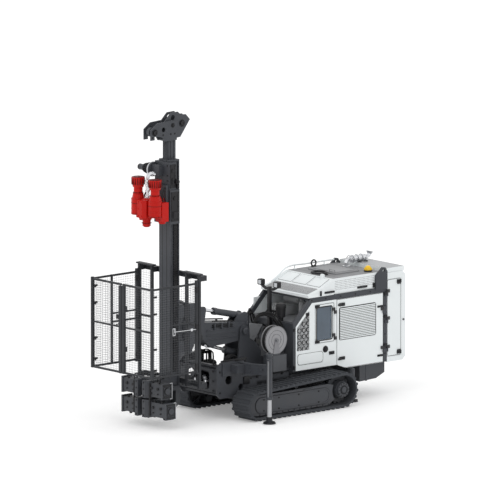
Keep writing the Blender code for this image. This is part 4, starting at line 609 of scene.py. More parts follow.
def tube(points, radius, sides=2, bend=5):
    """Hose or pipe through its points."""
    curve = bpy.data.curves.new("route", "CURVE")
    curve.dimensions = "3D"
    spline = curve.splines.new("BEZIER")
    spline.bezier_points.add(len(points) - 1)
    for knot, point in zip(spline.bezier_points, points):
        knot.co = point
        knot.handle_left_type = "AUTO"
        knot.handle_right_type = "AUTO"
    curve.bevel_depth = radius
    curve.bevel_resolution = sides
    curve.resolution_u = bend
    curve.use_fill_caps = True
    item = bpy.data.objects.new("route", curve)
    bpy.context.collection.objects.link(item)
    pick(item)
    bpy.ops.object.convert(target="MESH")
    return bpy.context.object


def copy_to(item, place):
    """Copy with a mesh of its own at another place."""
    twin = item.copy()
    twin.data = item.data.copy()
    twin.data.transform(place)
    bpy.context.collection.objects.link(twin)
    return twin


def across(item):
    """Copy on the other side of the machine's middle."""
    twin = copy_to(item, Matrix.Scale(-1.0, 4, (0.0, 1.0, 0.0)))
    twin.data.flip_normals()
    return twin


def both(items):
    """The left side's pieces and their mirror images."""
    return items + [across(item) for item in items]


def to_side(items, side):
    """The left side's pieces, or in their stead their mirror images on the right."""
    if side > 0:
        return items
    twins = [across(item) for item in items]
    for item in items:
        bpy.data.objects.remove(item)
    return twins


def wheel(item, centre, count):
    """Copies turned about an upright axis of a piece modelled off the origin, which goes."""
    twins = []
    for step in range(count):
        turn = Matrix.Rotation(math.tau * step / count, 4, "Z")
        twins.append(copy_to(item, Matrix.Translation(centre) @ turn))
    bpy.data.objects.remove(item)
    return twins


def around(centre, axis, radius, count, start=0.0):
    """Even places on a circle about a y or z axis, from a share of one step on."""
    angles = [math.tau * (step + start) / count for step in range(count)]
    x, y, z = centre
    if axis == "y":
        return [(x + radius * math.cos(a), y, z + radius * math.sin(a)) for a in angles]
    return [(x + radius * math.cos(a), y + radius * math.sin(a), z) for a in angles]


def spread(item, places, way=None):
    """Copies of a piece modelled at the origin, which goes."""
    turn = Vector(way).to_track_quat("Z", "Y").to_matrix().to_4x4() if way else Matrix()
    twins = [copy_to(item, Matrix.Translation(place) @ turn) for place in places]
    bpy.data.objects.remove(item)
    return twins


def bolts(places, way, radius=None, height=None):
    """Hexagon heads on washers, all facing one way."""
    radius = radius or bpy.context.scene.rig_sizes.bolt
    height = height or radius * 0.7
    wipe()
    bpy.ops.mesh.primitive_cylinder_add(vertices=12, radius=radius * 1.5, depth=height * 0.4,
                                        location=(0, 0, height * 0.2))
    head = settle(bpy.context.object)
    top = rod((0, 0, height * 0.3), (0, 0, height), radius, sides=6, edge=radius * 0.14)
    pick(head, top)
    bpy.ops.object.join()
    return spread(head, places, way)


def gather(items, name, body, finish, slot=None):
    """One finished piece of several shapes, which rides on its body."""
    slot = slot or FINISH_SLOT[finish]
    pick(*items)
    if len(items) > 1:
        bpy.ops.object.join()
    item = bpy.context.object
    item.name = name
    item.data.name = name
    item.data.materials.clear()
    item.data.materials.append(bpy.data.materials[finish])
    bpy.ops.object.shade_smooth_by_angle(angle=SMOOTH_ANGLE)
    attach(item, body)
    return item


def outward(axis, sign=1):
    """Face test: looks along one axis."""
    index = "xyz".index(axis)
    return lambda face: face.normal[index] * sign > 0.95


class RIG_OT_finish_nodes(bpy.types.Operator):
    """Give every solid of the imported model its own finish"""

    bl_idname = "rig.finish_nodes"
    bl_label = "Finish the solids"

    def execute(self, context):
        make_materials()
        for part in frame["record"]["subparts"]:
            item = NODES[part["node"]]
            finish = NODE_FINISH.get(part["node"], SLOT_FINISH[part["material_slot"]])
            item.data.materials.clear()
            item.data.materials.append(bpy.data.materials[finish])
        return {"FINISHED"}


SLIM_LATCH = 0.04  # up to this width a latch has no grip
# body, x, z, width, height, side
LATCHES = (
    ("window_leaf", -0.825, 1.546, 0.085, 0.044, 1), ("window_leaf", -0.825, 0.999, 0.085, 0.044, 1),
    ("side_leaf_L", -1.325, 1.52, 0.11, 0.05, 1), ("side_leaf_L", -1.325, 0.69, 0.11, 0.05, 1),
    ("side_leaf_R", -1.325, 1.52, 0.11, 0.05, -1), ("side_leaf_R", -1.325, 0.69, 0.11, 0.05, -1),
    ("rear_leaf_L", -2.482, 1.75, 0.086, 0.052, 1), ("rear_leaf_L", -2.482, 0.65, 0.086, 0.052, 1),
    ("rear_leaf_R", -2.482, 1.75, 0.086, 0.052, -1), ("rear_leaf_R", -2.482, 0.65, 0.086, 0.052, -1),
    ("carrier", -1.115, 0.8, 0.1, 0.05, 1), ("carrier", -0.628, 1.452, 0.062, 0.04, 1),
    ("carrier", -0.362, 1.235, 0.034, 0.045, 1), ("carrier", -0.362, 0.655, 0.034, 0.06, 1),
)


class RIG_OT_latches(bpy.types.Operator):
    """Black paddle latches on the doors and panels"""

    bl_idname = "rig.latches"
    bl_label = "Latches"

    def execute(self, context):
        groups = {}
        for body, x, z, width, height, side in LATCHES:
            item = block((x - width / 2, x + width / 2), (HOUSE_HALF - 0.002, HOUSE_HALF + 0.016),
                         (z - height / 2, z + height / 2), 0.004)
            inset(item, outward("y"), 0.005, -0.003)
            if width > SLIM_LATCH:
                grip = block((x - width * 0.33, x + width * 0.1),
                             (HOUSE_HALF + 0.01, HOUSE_HALF + 0.021),
                             (z - height * 0.26, z + height * 0.26), 0.003)
                pick(item, grip)
                bpy.ops.object.join()
            groups.setdefault(body, []).extend(to_side([item], side))
        for body, items in groups.items():
            gather(items, "latches_" + body, body, "black_fitting")
        return {"FINISHED"}


class RIG_OT_hinge_straps(bpy.types.Operator):
    """Black strap hinges on the grille doors, and hinge caps on the rear posts"""

    bl_idname = "rig.hinge_straps"
    bl_label = "Hinge straps"

    def execute(self, context):
        for suffix, side in SIDES:
            body = "side_leaf_" + suffix
            items = []
            for z in (0.64, 1.4):
                strap = block((-2.15, -2.045), (HOUSE_HALF - 0.002, HOUSE_HALF + 0.01),
                              (z - 0.016, z + 0.016), 0.003)
                inset(strap, outward("y"), 0.004, 0.003)
                items.append(strap)
                items += bolts([(x, HOUSE_HALF + 0.012, z) for x in (-2.125, -2.068)], (0, 1, 0), 0.006)
            gather(to_side(items, side), "hinge_straps_" + body, body, "black_fitting")
        caps = []
        for z in (0.79, 1.23, 1.59):
            cap = block((-2.235, -2.175), (HOUSE_HALF + 0.002, HOUSE_HALF + 0.02),
                        (z - 0.026, z + 0.026), 0.006)
            inset(cap, outward("y"), 0.008, 0.002)
            caps.append(cap)
        gather(both(caps), "post_hinge_caps", "carrier", "black_fitting")
        return {"FINISHED"}


# body, name, x, z, corner radius, width, side, height
# The thin strips round the doors and the locker lid are painted shade of the gaps round them
SEALS = (
    ("window_leaf", "window_seal", (-1.135, -0.805), (1.005, 1.535), 0.035, 0.015, 1, 0.004),
    ("window_leaf", "window_door_gap_shade", (-1.166, -0.786), (0.977, 1.568), 0.02, 0.005, 1, 0.0015),
    ("side_leaf_L", "grille_rim_L", (-2.015, -1.268), (0.97, 1.475), 0.03, 0.007, 1, 0.003),
    ("side_leaf_R", "grille_rim_R", (-2.015, -1.268), (0.97, 1.475), 0.03, 0.007, -1, 0.003),
    ("rear_leaf_L", "rear_door_gap_shade_L", (-2.522, -2.246), (0.608, 1.792), 0.03, 0.005, 1, 0.0015),
    ("rear_leaf_R", "rear_door_gap_shade_R", (-2.522, -2.246), (0.608, 1.792), 0.03, 0.005, -1, 0.0015),
    ("carrier", "locker_lid_gap_shade", (-0.945, -0.43), (0.68, 0.85), 0.045, 0.004, 1, 0.003),
)
GRILLE_DOOR = ((-2.166, 0.534), (-1.3, 0.534), (-1.222, 0.604), (-1.222, 1.604), (-2.166, 1.604))


class RIG_OT_seals(bpy.types.Operator):
    """Dark rubber seals round the window and the vents, and dark strips round the doors and the locker
    lid that are painted shade of their gaps
    """

    bl_idname = "rig.seals"
    bl_label = "Seals"

    def execute(self, context):
        for body, name, x, z, radius, width, side, rise in SEALS:
            item = frame_ring(pill(x, z, radius, 4), "y", HOUSE_HALF - 0.001, HOUSE_HALF + rise, width)
            gather(to_side([item], side), name, body, "rubber_and_painted_shade")
        # Dark strip round the grille door: painted shade of its gap
        edge = frame_ring(GRILLE_DOOR, "y", HOUSE_HALF - 0.001, HOUSE_HALF + 0.0015, 0.005)
        for suffix, item in (("L", edge), ("R", across(edge))):
            gather([item], "grille_door_gap_shade_" + suffix, "side_leaf_" + suffix, "rubber_and_painted_shade")
        return {"FINISHED"}


SLAT_COUNT = 19
SLAT_PITCH = 0.0257
SLAT_LEAN = math.radians(-12.0)


class RIG_OT_vents(bpy.types.Operator):
    """Fine louvres of the grille doors over a dark sheet that is painted shade between the slats"""

    bl_idname = "rig.vents"
    bl_label = "Vents"

    def execute(self, context):
        for suffix, side in SIDES:
            # Dark sheet behind the slats: painted shade of the openings between them
            back = block((-2.008, -1.275), (HOUSE_HALF - 0.003, HOUSE_HALF + 0.0008), (0.977, 1.468),
                         0.0005, 1)
            slat = block((-2.0, -1.283), (-0.001, 0.0065), (0.0, 0.0185), 0.0025, 1)
            slat.data.transform(Matrix.Rotation(SLAT_LEAN, 4, "X"))
            slats = spread(slat, [(0.0, HOUSE_HALF + 0.0015, 0.981 + SLAT_PITCH * row)
                                  for row in range(SLAT_COUNT)])
            body = "side_leaf_" + suffix
            gather(to_side([back], side), "vent_gap_shade_" + suffix, body, "rubber_and_painted_shade")
            gather(to_side(slats, side), "vent_slats_" + suffix, body, "panel_trim")
        return {"FINISHED"}


# x and z of each gauge
DIALS = tuple((x, z) for z, columns in (
    (0.925, (-0.655, -0.565, -0.475)), (1.02, (-0.655, -0.565, -0.475)),
    (1.115, (-0.655, -0.565, -0.475)), (1.21, (-0.655, -0.565, -0.475)),
    (1.305, (-0.655, -0.565)), (1.395, (-0.66,))) for x in columns)


class RIG_OT_gauges(bpy.types.Operator):
    """Round pressure gauges on the grey plate behind the front pillar"""

    bl_idname = "rig.gauges"
    bl_label = "Gauges"

    def execute(self, context):
        bezel = rod((0, GAUGE_FACE, 0), (0, GAUGE_FACE + 0.012, 0), 0.034, sides=24)
        inset(bezel, outward("y"), 0.006, -0.005)
        lug = block((-0.006, 0.006), (GAUGE_FACE, GAUGE_FACE + 0.009), (-0.046, -0.034), 0.002)
        needle = plate([(-0.003, -0.008), (0.003, -0.008), (0.0, 0.022)], "y", GAUGE_FACE + 0.0095,
                       GAUGE_FACE + 0.011, 0.0)
        needle.data.transform(Matrix.Rotation(math.radians(38.0), 4, "Y"))
        pick(bezel, lug, needle)
        bpy.ops.object.join()
        face = rod((0, GAUGE_FACE + 0.0065, 0), (0, GAUGE_FACE + 0.009, 0), 0.0275, sides=20,
                   edge=0.0005)
        places = [(x, 0.0, z) for x, z in DIALS]
        gather(spread(bezel, places), "gauge_bezels", "carrier", "black_fitting")
        gather(spread(face, places), "gauge_faces", "carrier", "dial_face")
        return {"FINISHED"}


class RIG_OT_side_details(bpy.types.Operator):
    """Filler cap, locker lid, knobs and vents of the fixed side panels"""

    bl_idname = "rig.side_details"
    bl_label = "Side panel details"

    def execute(self, context):
        y = HOUSE_HALF
        lid = plate(pill((-0.94, -0.435), (0.685, 0.845), 0.042), "y", y - 0.002, y + 0.0035, 0.002)
        inset(lid, outward("y"), 0.016, -0.001)
        gather([lid], "locker_lid", "carrier", "panel_trim")
        cap = rod((-0.992, y - 0.001, 0.87), (-0.992, y + 0.022, 0.87), 0.04, sides=24, edge=0.003)
        inset(cap, outward("y"), 0.012, 0.006)
        collar = ring((-0.992, y + 0.002, 0.87), (0, 1, 0), 0.046, 0.006)
        grip = block((-1.022, -0.962), (y + 0.026, y + 0.034), (0.864, 0.876), 0.002)
        knob = rod((-2.57, y - 0.001, 1.145), (-2.57, y + 0.018, 1.145), 0.014, sides=14)
        vent = []
        for row in range(6):
            z = 1.0 + 0.045 * row
            slot = block((-0.93, -0.6), (-y - 0.004, -y + 0.001), (z, z + 0.014), 0.002)
            inset(slot, outward("y", -1), 0.004, -0.002)
            vent.append(slot)
        gather([cap, collar, grip, knob, *vent], "filler_and_knobs", "carrier", "black_fitting")
        return {"FINISHED"}


class RIG_OT_panel_bolts(bpy.types.Operator):
    """Bolts on the house's rear posts and upper rails"""

    bl_idname = "rig.panel_bolts"
    bl_label = "House bolts"

    def execute(self, context):
        places = [(-2.2, HOUSE_HALF + 0.001, z) for z in (0.66, 0.96, 1.4, 1.74)]
        places += [(x, HOUSE_HALF + 0.001, 1.65) for x in (-0.72, -1.0, -1.3, -1.6, -1.9)]
        items = bolts(places, (0, 1, 0), 0.008)
        gather(both(items), "house_bolts", "carrier", "black_fitting")
        return {"FINISHED"}


RAIL_Y = -0.515
# x and z along the rail on the roof's right side
RAIL = ((-0.84, 1.795), (-0.98, 1.875), (-1.1, 1.955), (-1.2, 1.985), (-1.5, 1.985), (-1.8, 1.985),
        (-2.1, 1.985))


class RIG_OT_roof_fittings(bpy.types.Operator):
    """Handles, clips, lifting rings and rail of the roof and hood"""

    bl_idname = "rig.roof_fittings"
    bl_label = "Roof fittings"

    def execute(self, context):
        items = []
        for x, edge in ((-1.075, HOUSE_HALF), (-1.755, ROOF_HALF)):
            bar = tube([(x - 0.085, edge - 0.004, 1.738), (x - 0.078, edge + 0.022, 1.738),
                        (x, edge + 0.026, 1.738), (x + 0.078, edge + 0.022, 1.738),
                        (x + 0.085, edge - 0.004, 1.738)], 0.011)
            base = block((x - 0.1, x + 0.1), (edge - 0.001, edge + 0.006), (1.722, 1.754), 0.002)
            items += [bar, base]
        for x, edge in ((-0.895, HOUSE_HALF), (-1.98, ROOF_HALF)):
            clip = block((x - 0.014, x + 0.014), (edge - 0.002, edge + 0.018), (1.7, 1.775), 0.003)
            inset(clip, outward("y"), 0.005, 0.004)
            items.append(clip)
        items = both(items)
        items.append(ring((-1.657, -0.48, 1.985), (0, 1, 0), 0.046, 0.012))
        items.append(block((-1.7, -1.614), (-0.495, -0.465), (1.93, 1.946), 0.003))
        loop = ring((0, 0, 0), (0, 0, 1), 0.1, 0.017, 28)
        oval = Matrix.Diagonal((0.95, 1.25, 1.0, 1.0))
        loop.data.transform(Matrix.Translation((-1.29, 0.07, 1.955)) @ oval)
        items.append(loop)
        for y in (-0.08, 0.22):
            items.append(block((-1.325, -1.255), (y - 0.015, y + 0.015), (ROOF_TOP, 1.95), 0.004))
        gather(items, "roof_handles", "carrier", "black_fitting")
        rail = [tube([(x, RAIL_Y, z) for x, z in RAIL], 0.013)]
        for x in (-1.3, -1.9):
            rail.append(rod((x, RAIL_Y, 1.929), (x, RAIL_Y, 1.985), 0.009, sides=10, edge=0))
            rail.append(block((x - 0.022, x + 0.022), (-ROOF_HALF, -0.49), (1.929, 1.936), 0.002))
        stub = rod((-1.13, 0.31, 1.9), (-1.15, 0.31, 1.972), 0.036, sides=18)
        inset(stub, outward("z"), 0.01, 0.006)
        gather([*rail, stub], "roof_rail", "carrier", "panel_trim")
        return {"FINISHED"}


# x and z of the hood's front edge, knee and upper edge
HOOD_LOW = (-0.65, 1.73)
HOOD_KNEE = (-0.9, 1.8)
HOOD_HIGH = (-1.165, 1.93)
HOOD_RIM = 0.007


def slope_strip(foot, top, before, after, rise):
    """Outline of a thin strip on the slope from foot to top, held back from both ends."""
    foot = Vector(foot)
    top = Vector(top)
    slope = (top - foot).normalized()
    lift = Vector((slope.y, -slope.x)) * rise
    start = foot + slope * before
    stop = top - slope * after
    return [start, stop, stop + lift, start + lift]


class RIG_OT_hood_cover(bpy.types.Operator):
    """Punched ledge and raised panels on the hood's sloping front"""

    bl_idname = "rig.hood_cover"
    bl_label = "Hood cover"

    def execute(self, context):
        ledge = plate(slope_strip(HOOD_LOW, HOOD_KNEE, 0.035, 0.012, 0.006), "y", -0.485, 0.485, 0.001)
        gather([ledge], "hood_mesh_ledge", "carrier", "punched_sheet")
        panel = slope_strip(HOOD_KNEE, HOOD_HIGH, 0.045, 0.035, 0.005)
        rim = slope_strip(HOOD_KNEE, HOOD_HIGH, 0.045 - HOOD_RIM, 0.035 - HOOD_RIM, 0.002)
        panels = []
        rims = []
        for left, right in ((-0.47, -0.19), (-0.15, 0.15), (0.19, 0.47)):
            panels.append(plate(panel, "y", left, right, 0.0015))
            rims.append(plate(rim, "y", left - HOOD_RIM, right + HOOD_RIM, 0.0))
        gather(panels, "hood_panels", "carrier", "panel_trim")
        gather(rims, "hood_panel_seals", "carrier", "grey_fitting")
        return {"FINISHED"}


class RIG_OT_beacon(bpy.types.Operator):
    """Amber beacon: ribbed lens on a black foot"""

    bl_idname = "rig.beacon"
    bl_label = "Beacon"

    def execute(self, context):
        low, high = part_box("beacon")
        x = (low[0] + high[0]) / 2
        y = (low[1] + high[1]) / 2
        z = low[2]
        radius = (high[0] - low[0]) / 2
        foot = rod((x, y, z), (x, y, z + 0.02), radius * 0.98, sides=24, edge=0.003)
        inset(foot, outward("z"), 0.01, 0.004)
        piece = gather([foot], "beacon_foot", "carrier", "black_fitting")
        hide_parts("beacon")
        skirt = rod((x, y, z + 0.022), (x, y, z + 0.052), radius * 0.9, radius * 0.86, sides=24)
        shell = dome((x, y, z + 0.048), (radius * 0.74, radius * 0.74, high[2] - z - 0.05))
        rib = block((radius * 0.84, radius * 0.93), (-0.004, 0.004), (z + 0.024, z + 0.05), 0.002)
        gather([skirt, shell, *wheel(rib, (x, y, 0), 16)], "beacon_lens", "carrier", "amber_lens")
        return {"FINISHED"}


# x and radius of the exhaust under each ring
EXHAUST_RINGS = ((-2.09, 0.062), (-2.15, 0.062), (-2.24, 0.062), (-2.33, 0.062), (-2.39, 0.05))


class RIG_OT_exhaust_rings(bpy.types.Operator):
    """Clamps and flanges round the exhaust"""

    bl_idname = "rig.exhaust_rings"
    bl_label = "Exhaust rings"

    def execute(self, context):
        low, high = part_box("exhaust")
        y = (low[1] + high[1]) / 2
        items = []
        for x, radius in EXHAUST_RINGS:
            items.append(ring((x, y, 2.035), (1, 0, 0), radius - 0.004, 0.006, 24))
            items.append(block((x - 0.008, x + 0.008), (y + radius - 0.01, y + radius + 0.012),
                               (2.025, 2.045), 0.002))
        gather(items, "exhaust_clamps", "carrier", "bright_steel")
        foot = [block((x - 0.012, x + 0.012), (y - 0.045, y + 0.045), (1.9705, 1.992), 0.002)
                for x in (-2.3, -2.42)]
        gather(foot, "exhaust_feet", "carrier", "grey_fitting")
        return {"FINISHED"}


class RIG_OT_lamp_glass(bpy.types.Operator):
    """Lenses, rims and guards of the two work lamps"""

    bl_idname = "rig.lamp_glass"
    bl_label = "Work lamps"

    def execute(self, context):
        faces = []
        rims = []
        middle, z = LAMP_PLACE
        for y in (middle - 0.185, middle + 0.185):
            face = plate(pill((y - 0.036, y + 0.036), (z - 0.033, z + 0.033), 0.01, 3), "x",
                         -0.286, -0.281, 0.001)
            inset(face, outward("x"), 0.006, 0.002)
            faces.append(face)
            rims.append(frame_ring(pill((y - 0.046, y + 0.046), (z - 0.043, z + 0.043), 0.012, 3),
                                   "x", -0.287, -0.277, 0.01))
            rims.append(block((-0.33, -0.3), (y - 0.01, y + 0.01), (1.84, 1.852), 0.002))
        gather(faces, "lamp_lenses", "carrier", "lamp_lens")
        gather(rims, "lamp_rims", "carrier", "black_fitting")
        return {"FINISHED"}


class RIG_OT_machinery(bpy.types.Operator):
    """Deck, lining, valve bank, drum and hoses seen in the open front of the house"""

    bl_idname = "rig.machinery"
    bl_label = "Machinery"

    def execute(self, context):
        deck = block((-1.2, -0.45), (-0.515, 0.505), (1.318, BAY_FLOOR), 0.003)
        gather([deck], "machinery_deck", "carrier", "grey_fitting")
        lining = [block((-1.206, -1.2), (-0.5, 0.5), (1.335, 1.68), 0.002),
                  block((-1.19, -0.47), (-0.517, -0.511), (1.335, 1.59), 0.002)]
        inset(lining[0], outward("x"), 0.03, -0.002)
        inset(lining[1], outward("y"), 0.03, -0.002)
        lining += bolts([(-1.2005, y, z) for y in (-0.48, -0.16, 0.16, 0.48) for z in (1.35, 1.665)],
                        (1, 0, 0), 0.008)
        gather(lining, "bay_lining", "carrier", "panel_trim")
        banks = [block((-1.1, -0.72), (-0.42, -0.1), (BAY_FLOOR, 1.47), 0.01)]
        inset(banks[0], outward("z"), 0.02, 0.015)
        for row in range(6):
            y = -0.385 + row * 0.05
            banks.append(block((-0.735, -0.68), (y, y + 0.036), (1.345, 1.455), 0.005))
            banks.append(rod((-0.71, y + 0.018, 1.45), (-0.71, y + 0.018, 1.5), 0.01, sides=10))
        drum = rod((-1.0, -0.36, 1.555), (-1.0, -0.02, 1.555), 0.075, sides=24, edge=0.008)
        inset(drum, outward("y"), 0.02, 0.01)
        banks.append(drum)
        banks.append(rod((-0.92, 0.1, BAY_FLOOR), (-0.92, 0.1, 1.56), 0.055, sides=20, edge=0.006))
        banks.append(tube([(-0.92, 0.1, 1.55), (-0.92, 0.06, 1.62), (-0.96, 0.0, 1.63),
                           (-1.0, -0.04, 1.575)], 0.024))
        gather(banks, "valve_bank", "carrier", "gauge_plate")
        lines = []
        for row in range(5):
            y = -0.36 + row * 0.055
            lines.append(tube([(-0.7, y, 1.36), (-0.62, y + 0.01, 1.4), (-0.56, y + 0.02, 1.36),
                               (-0.53, y + 0.02, 1.325)], 0.011))
        gather(lines, "valve_hoses", "carrier", "hose_rubber")
        return {"FINISHED"}


class RIG_OT_engine_details(bpy.types.Operator):
    """Covers, filters and pipes on the engine behind the side doors"""

    bl_idname = "rig.engine_details"
    bl_label = "Engine details"

    def execute(self, context):
        cover = block((-1.97, -1.43), (0.336, 0.372), (1.1, 1.26), 0.012)
        inset(cover, outward("y"), 0.022, 0.01)
        sump = block((-1.99, -1.41), (0.336, 0.356), (0.67, 0.76), 0.008)
        inset(sump, outward("y"), 0.018, -0.006)
        iron = [cover, sump, rod((-1.93, 0.405, 0.985), (-1.42, 0.405, 0.985), 0.028)]
        iron += bolts([(-1.95 + 0.125 * step, 0.3715, z) for step in range(5) for z in (1.113, 1.247)],
                      (0, 1, 0), 0.009)
        for step in range(4):
            x = -1.9 + 0.13 * step
            iron.append(tube([(x, 0.335, 1.03), (x, 0.39, 1.03), (x + 0.02, 0.405, 1.0),
                              (x + 0.07, 0.405, 0.985)], 0.02))
        black = [rod((-1.6, 0.388, 0.845), (-1.42, 0.388, 0.845), 0.044, sides=22),
                 tube([(-1.6, 0.388, 0.86), (-1.64, 0.4, 0.93), (-1.58, 0.41, 1.08), (-1.46, 0.4, 1.2),
                       (-1.43, 0.37, 1.29)], 0.013)]
        for x in (-1.86, -1.7):
            can = rod((x, 0.392, 0.775), (x, 0.392, 0.915), 0.047, sides=24, edge=0.006)
            inset(can, outward("z", -1), 0.012, -0.006)
            black += [can, ring((x, 0.392, 0.895), (0, 0, 1), 0.0475, 0.004, 24, 6)]
        gather(both(iron), "engine_covers", "carrier", "cast_block")
        gather(both(black), "engine_filters", "carrier", "black_fitting")
        return {"FINISHED"}


LINK_COUNT = 83
LINK_PITCH = 0.038
POST_Z = (4.015, 4.305)  # lowest and highest point of the strips on the crown's post
# x, z and radius of the pins in the crown's plates, and y of their faces
CROWN_PINS = ((1.451, 4.557, 0.036, 0.05), (2.02, 4.475, 0.034, 0.086), (1.66, 4.55, 0.022, 0.08))
CROWN_BOLTS = ((1.7, 4.42), (1.62, 4.42), (1.85, 4.42), (2.06, 4.4))  # x and z


class RIG_OT_mast_fittings(bpy.types.Operator):
    """Link chain, bolts, guide strips and crown pins of the mast"""

    bl_idname = "rig.mast_fittings"
    bl_label = "Mast fittings"

    def execute(self, context):
        link = block((1.6, 1.672), (0.0995, 0.1225), (0.0, 0.03), 0.004, 1)
        inset(link, outward("y"), 0.008, -0.004)
        links = spread(link, [(0.0, 0.0, 0.78 + LINK_PITCH * row) for row in range(LINK_COUNT)])
        gather(links, "feed_chain", "mast_body", "black_fitting")
        rows = [0.8 + 0.2 * row for row in range(16)]
        heads = bolts([(1.7, 0.1005, z) for z in rows], (0, 1, 0), 0.009)
        heads += bolts([(x, -0.1005, z) for z in rows for x in (1.63, 1.69)], (0, -1, 0), 0.009)
        heads += bolts([(1.5645, y, z) for y in (-0.05, 0.05) for z in (2.7, 3.0, 3.3, 3.6, 3.9)],
                       (-1, 0, 0), 0.01)
        gather(heads, "mast_bolts", "mast_body", "frame_paint")
        strips = both([block((x, x + 0.016), (0.0495, 0.057), POST_Z, 0.003)
                       for x in (1.6, 1.66, 1.712)])
        strips += [block((1.7445, 1.7515), (y - 0.007, y + 0.007), POST_Z, 0.003)
                   for y in (-0.034, 0.0, 0.034)]
        foot = block((1.566, 1.756), (-0.075, 0.075), (3.9995, 4.014), 0.004)
        inset(foot, outward("z"), 0.004, 0.003)
        strips.append(foot)
        gather(strips, "crown_post_strips", "mast_body", "mast_paint")
        pins = []
        for x, z, radius, y in CROWN_PINS:
            pin = rod((x, y, z), (x, y + 0.024, z), radius, edge=0.004)
            inset(pin, outward("y"), radius * 0.35, -0.004)
            pins.append(pin)
            pins.append(ring((x, y + 0.006, z), (0, 1, 0), radius * 1.35, 0.006, 20, 6))
        pins += bolts([(x, 0.0855, z) for x, z in CROWN_BOLTS], (0, 1, 0), 0.01)
        gather(both(pins), "crown_pins", "mast_body", "black_fitting")
        return {"FINISHED"}


HEAD_HOSE = 0.012


class RIG_OT_carriage_plates(bpy.types.Operator):
    """Wear plates, drives and hoses of the carriage"""

    bl_idname = "rig.carriage_plates"
    bl_label = "Carriage plates"

    def execute(self, context):
        plates = []
        for y, x, z in ((0.1845, (1.63, 1.785), (3.1, 3.55)), (0.1685, (1.675, 1.79), (3.61, 3.97))):
            item = block(x, (y, y + 0.008), z, 0.004)
            inset(item, outward("y"), 0.018, -0.004)
            plates.append(item)
            plates += bolts([(a, y + 0.0075, b) for a in (x[0] + 0.012, x[1] - 0.012)
                             for b in (z[0] + 0.015, sum(z) / 2, z[1] - 0.015)], (0, 1, 0), 0.008)
            plates.append(block((x[0] + 0.035, x[1] - 0.035), (y + 0.003, y + 0.016),
                                (z[0] + 0.05, z[0] + 0.15), 0.004))
            middle = sum(x) / 2
            plates.append(rod((middle, y + 0.003, z[1] - 0.1), (middle, y + 0.018, z[1] - 0.1), 0.03))
        plates += bolts([(1.8005, 0.12, z) for z in (3.72, 3.8, 3.95)], (1, 0, 0), 0.01)
        gather(both(plates), "carriage_plates", "feed_body", "black_fitting")
        pump = [rod((1.668, 0.166, 3.705), (1.668, 0.215, 3.705), 0.036, sides=18, edge=0.004),
                rod((1.668, 0.213, 3.705), (1.668, 0.232, 3.705), 0.022, sides=14),
                block((1.63, 1.67), (0.166, 0.205), (3.6, 3.69), 0.004)]
        inset(pump[2], outward("y"), 0.006, 0.004)
        x, z = SIDE_DRIVE
        ribs = [ring((x, y, z), (0, 1, 0), 0.099 + (y + 0.2) * 0.25, 0.008, 24, 6)
                for y in (-0.215, -0.245, -0.275, -0.305, -0.335)]
        ribs += bolts(around((x, -0.2005, z), "y", 0.095, 8), (0, -1, 0), 0.008)
        gather(ribs, "drive_ribs", "feed_body", "rubber_and_painted_shade")
        pump.append(rod((x, -0.455, z), (x, -0.4795, z), 0.0465, sides=20, edge=0.004))
        band = rod((x, -0.168, z), (x, -0.19, z), 0.1145, 0.1125, sides=32, edge=0.002)
        inset(band, outward("y", -1), 0.014, -0.004)
        gather([band], "drive_band", "feed_body", "bright_steel")
        gather(pump, "carriage_drives", "feed_body", "black_fitting")
        lines = both([tube([(1.86, 0.13, 3.62), (1.92, 0.17, 3.58), (1.97, 0.2, 3.5),
                            (1.975, 0.225, 3.425)], HEAD_HOSE)])
        lines += [tube([(1.86, 0.1, 3.12), (1.9, 0.14, 3.09), (1.95, 0.19, 3.1), (1.97, 0.215, 3.145)],
                       HEAD_HOSE),
                  tube([(1.86, 0.05, 3.11), (1.93, 0.1, 3.07), (1.98, 0.16, 3.09), (1.985, 0.2, 3.145)],
                       HEAD_HOSE)]
        gather(lines, "head_hoses", "feed_body", "hose_rubber")
        return {"FINISHED"}


# z, radius and thickness of the rings round each motor, then z and radius of its thin dark rings, which
# are painted shade in its seams
HEAD_RINGS = ((3.53, 0.078, 0.006), (3.63, 0.069, 0.007), (3.45, 0.103, 0.006), (3.24, 0.105, 0.005),
              (3.3, 0.105, 0.005))
HEAD_SHADE_RINGS = ((3.645, 0.07), (3.66, 0.078), (3.545, 0.076), (3.222, 0.1045), (3.385, 0.1055))


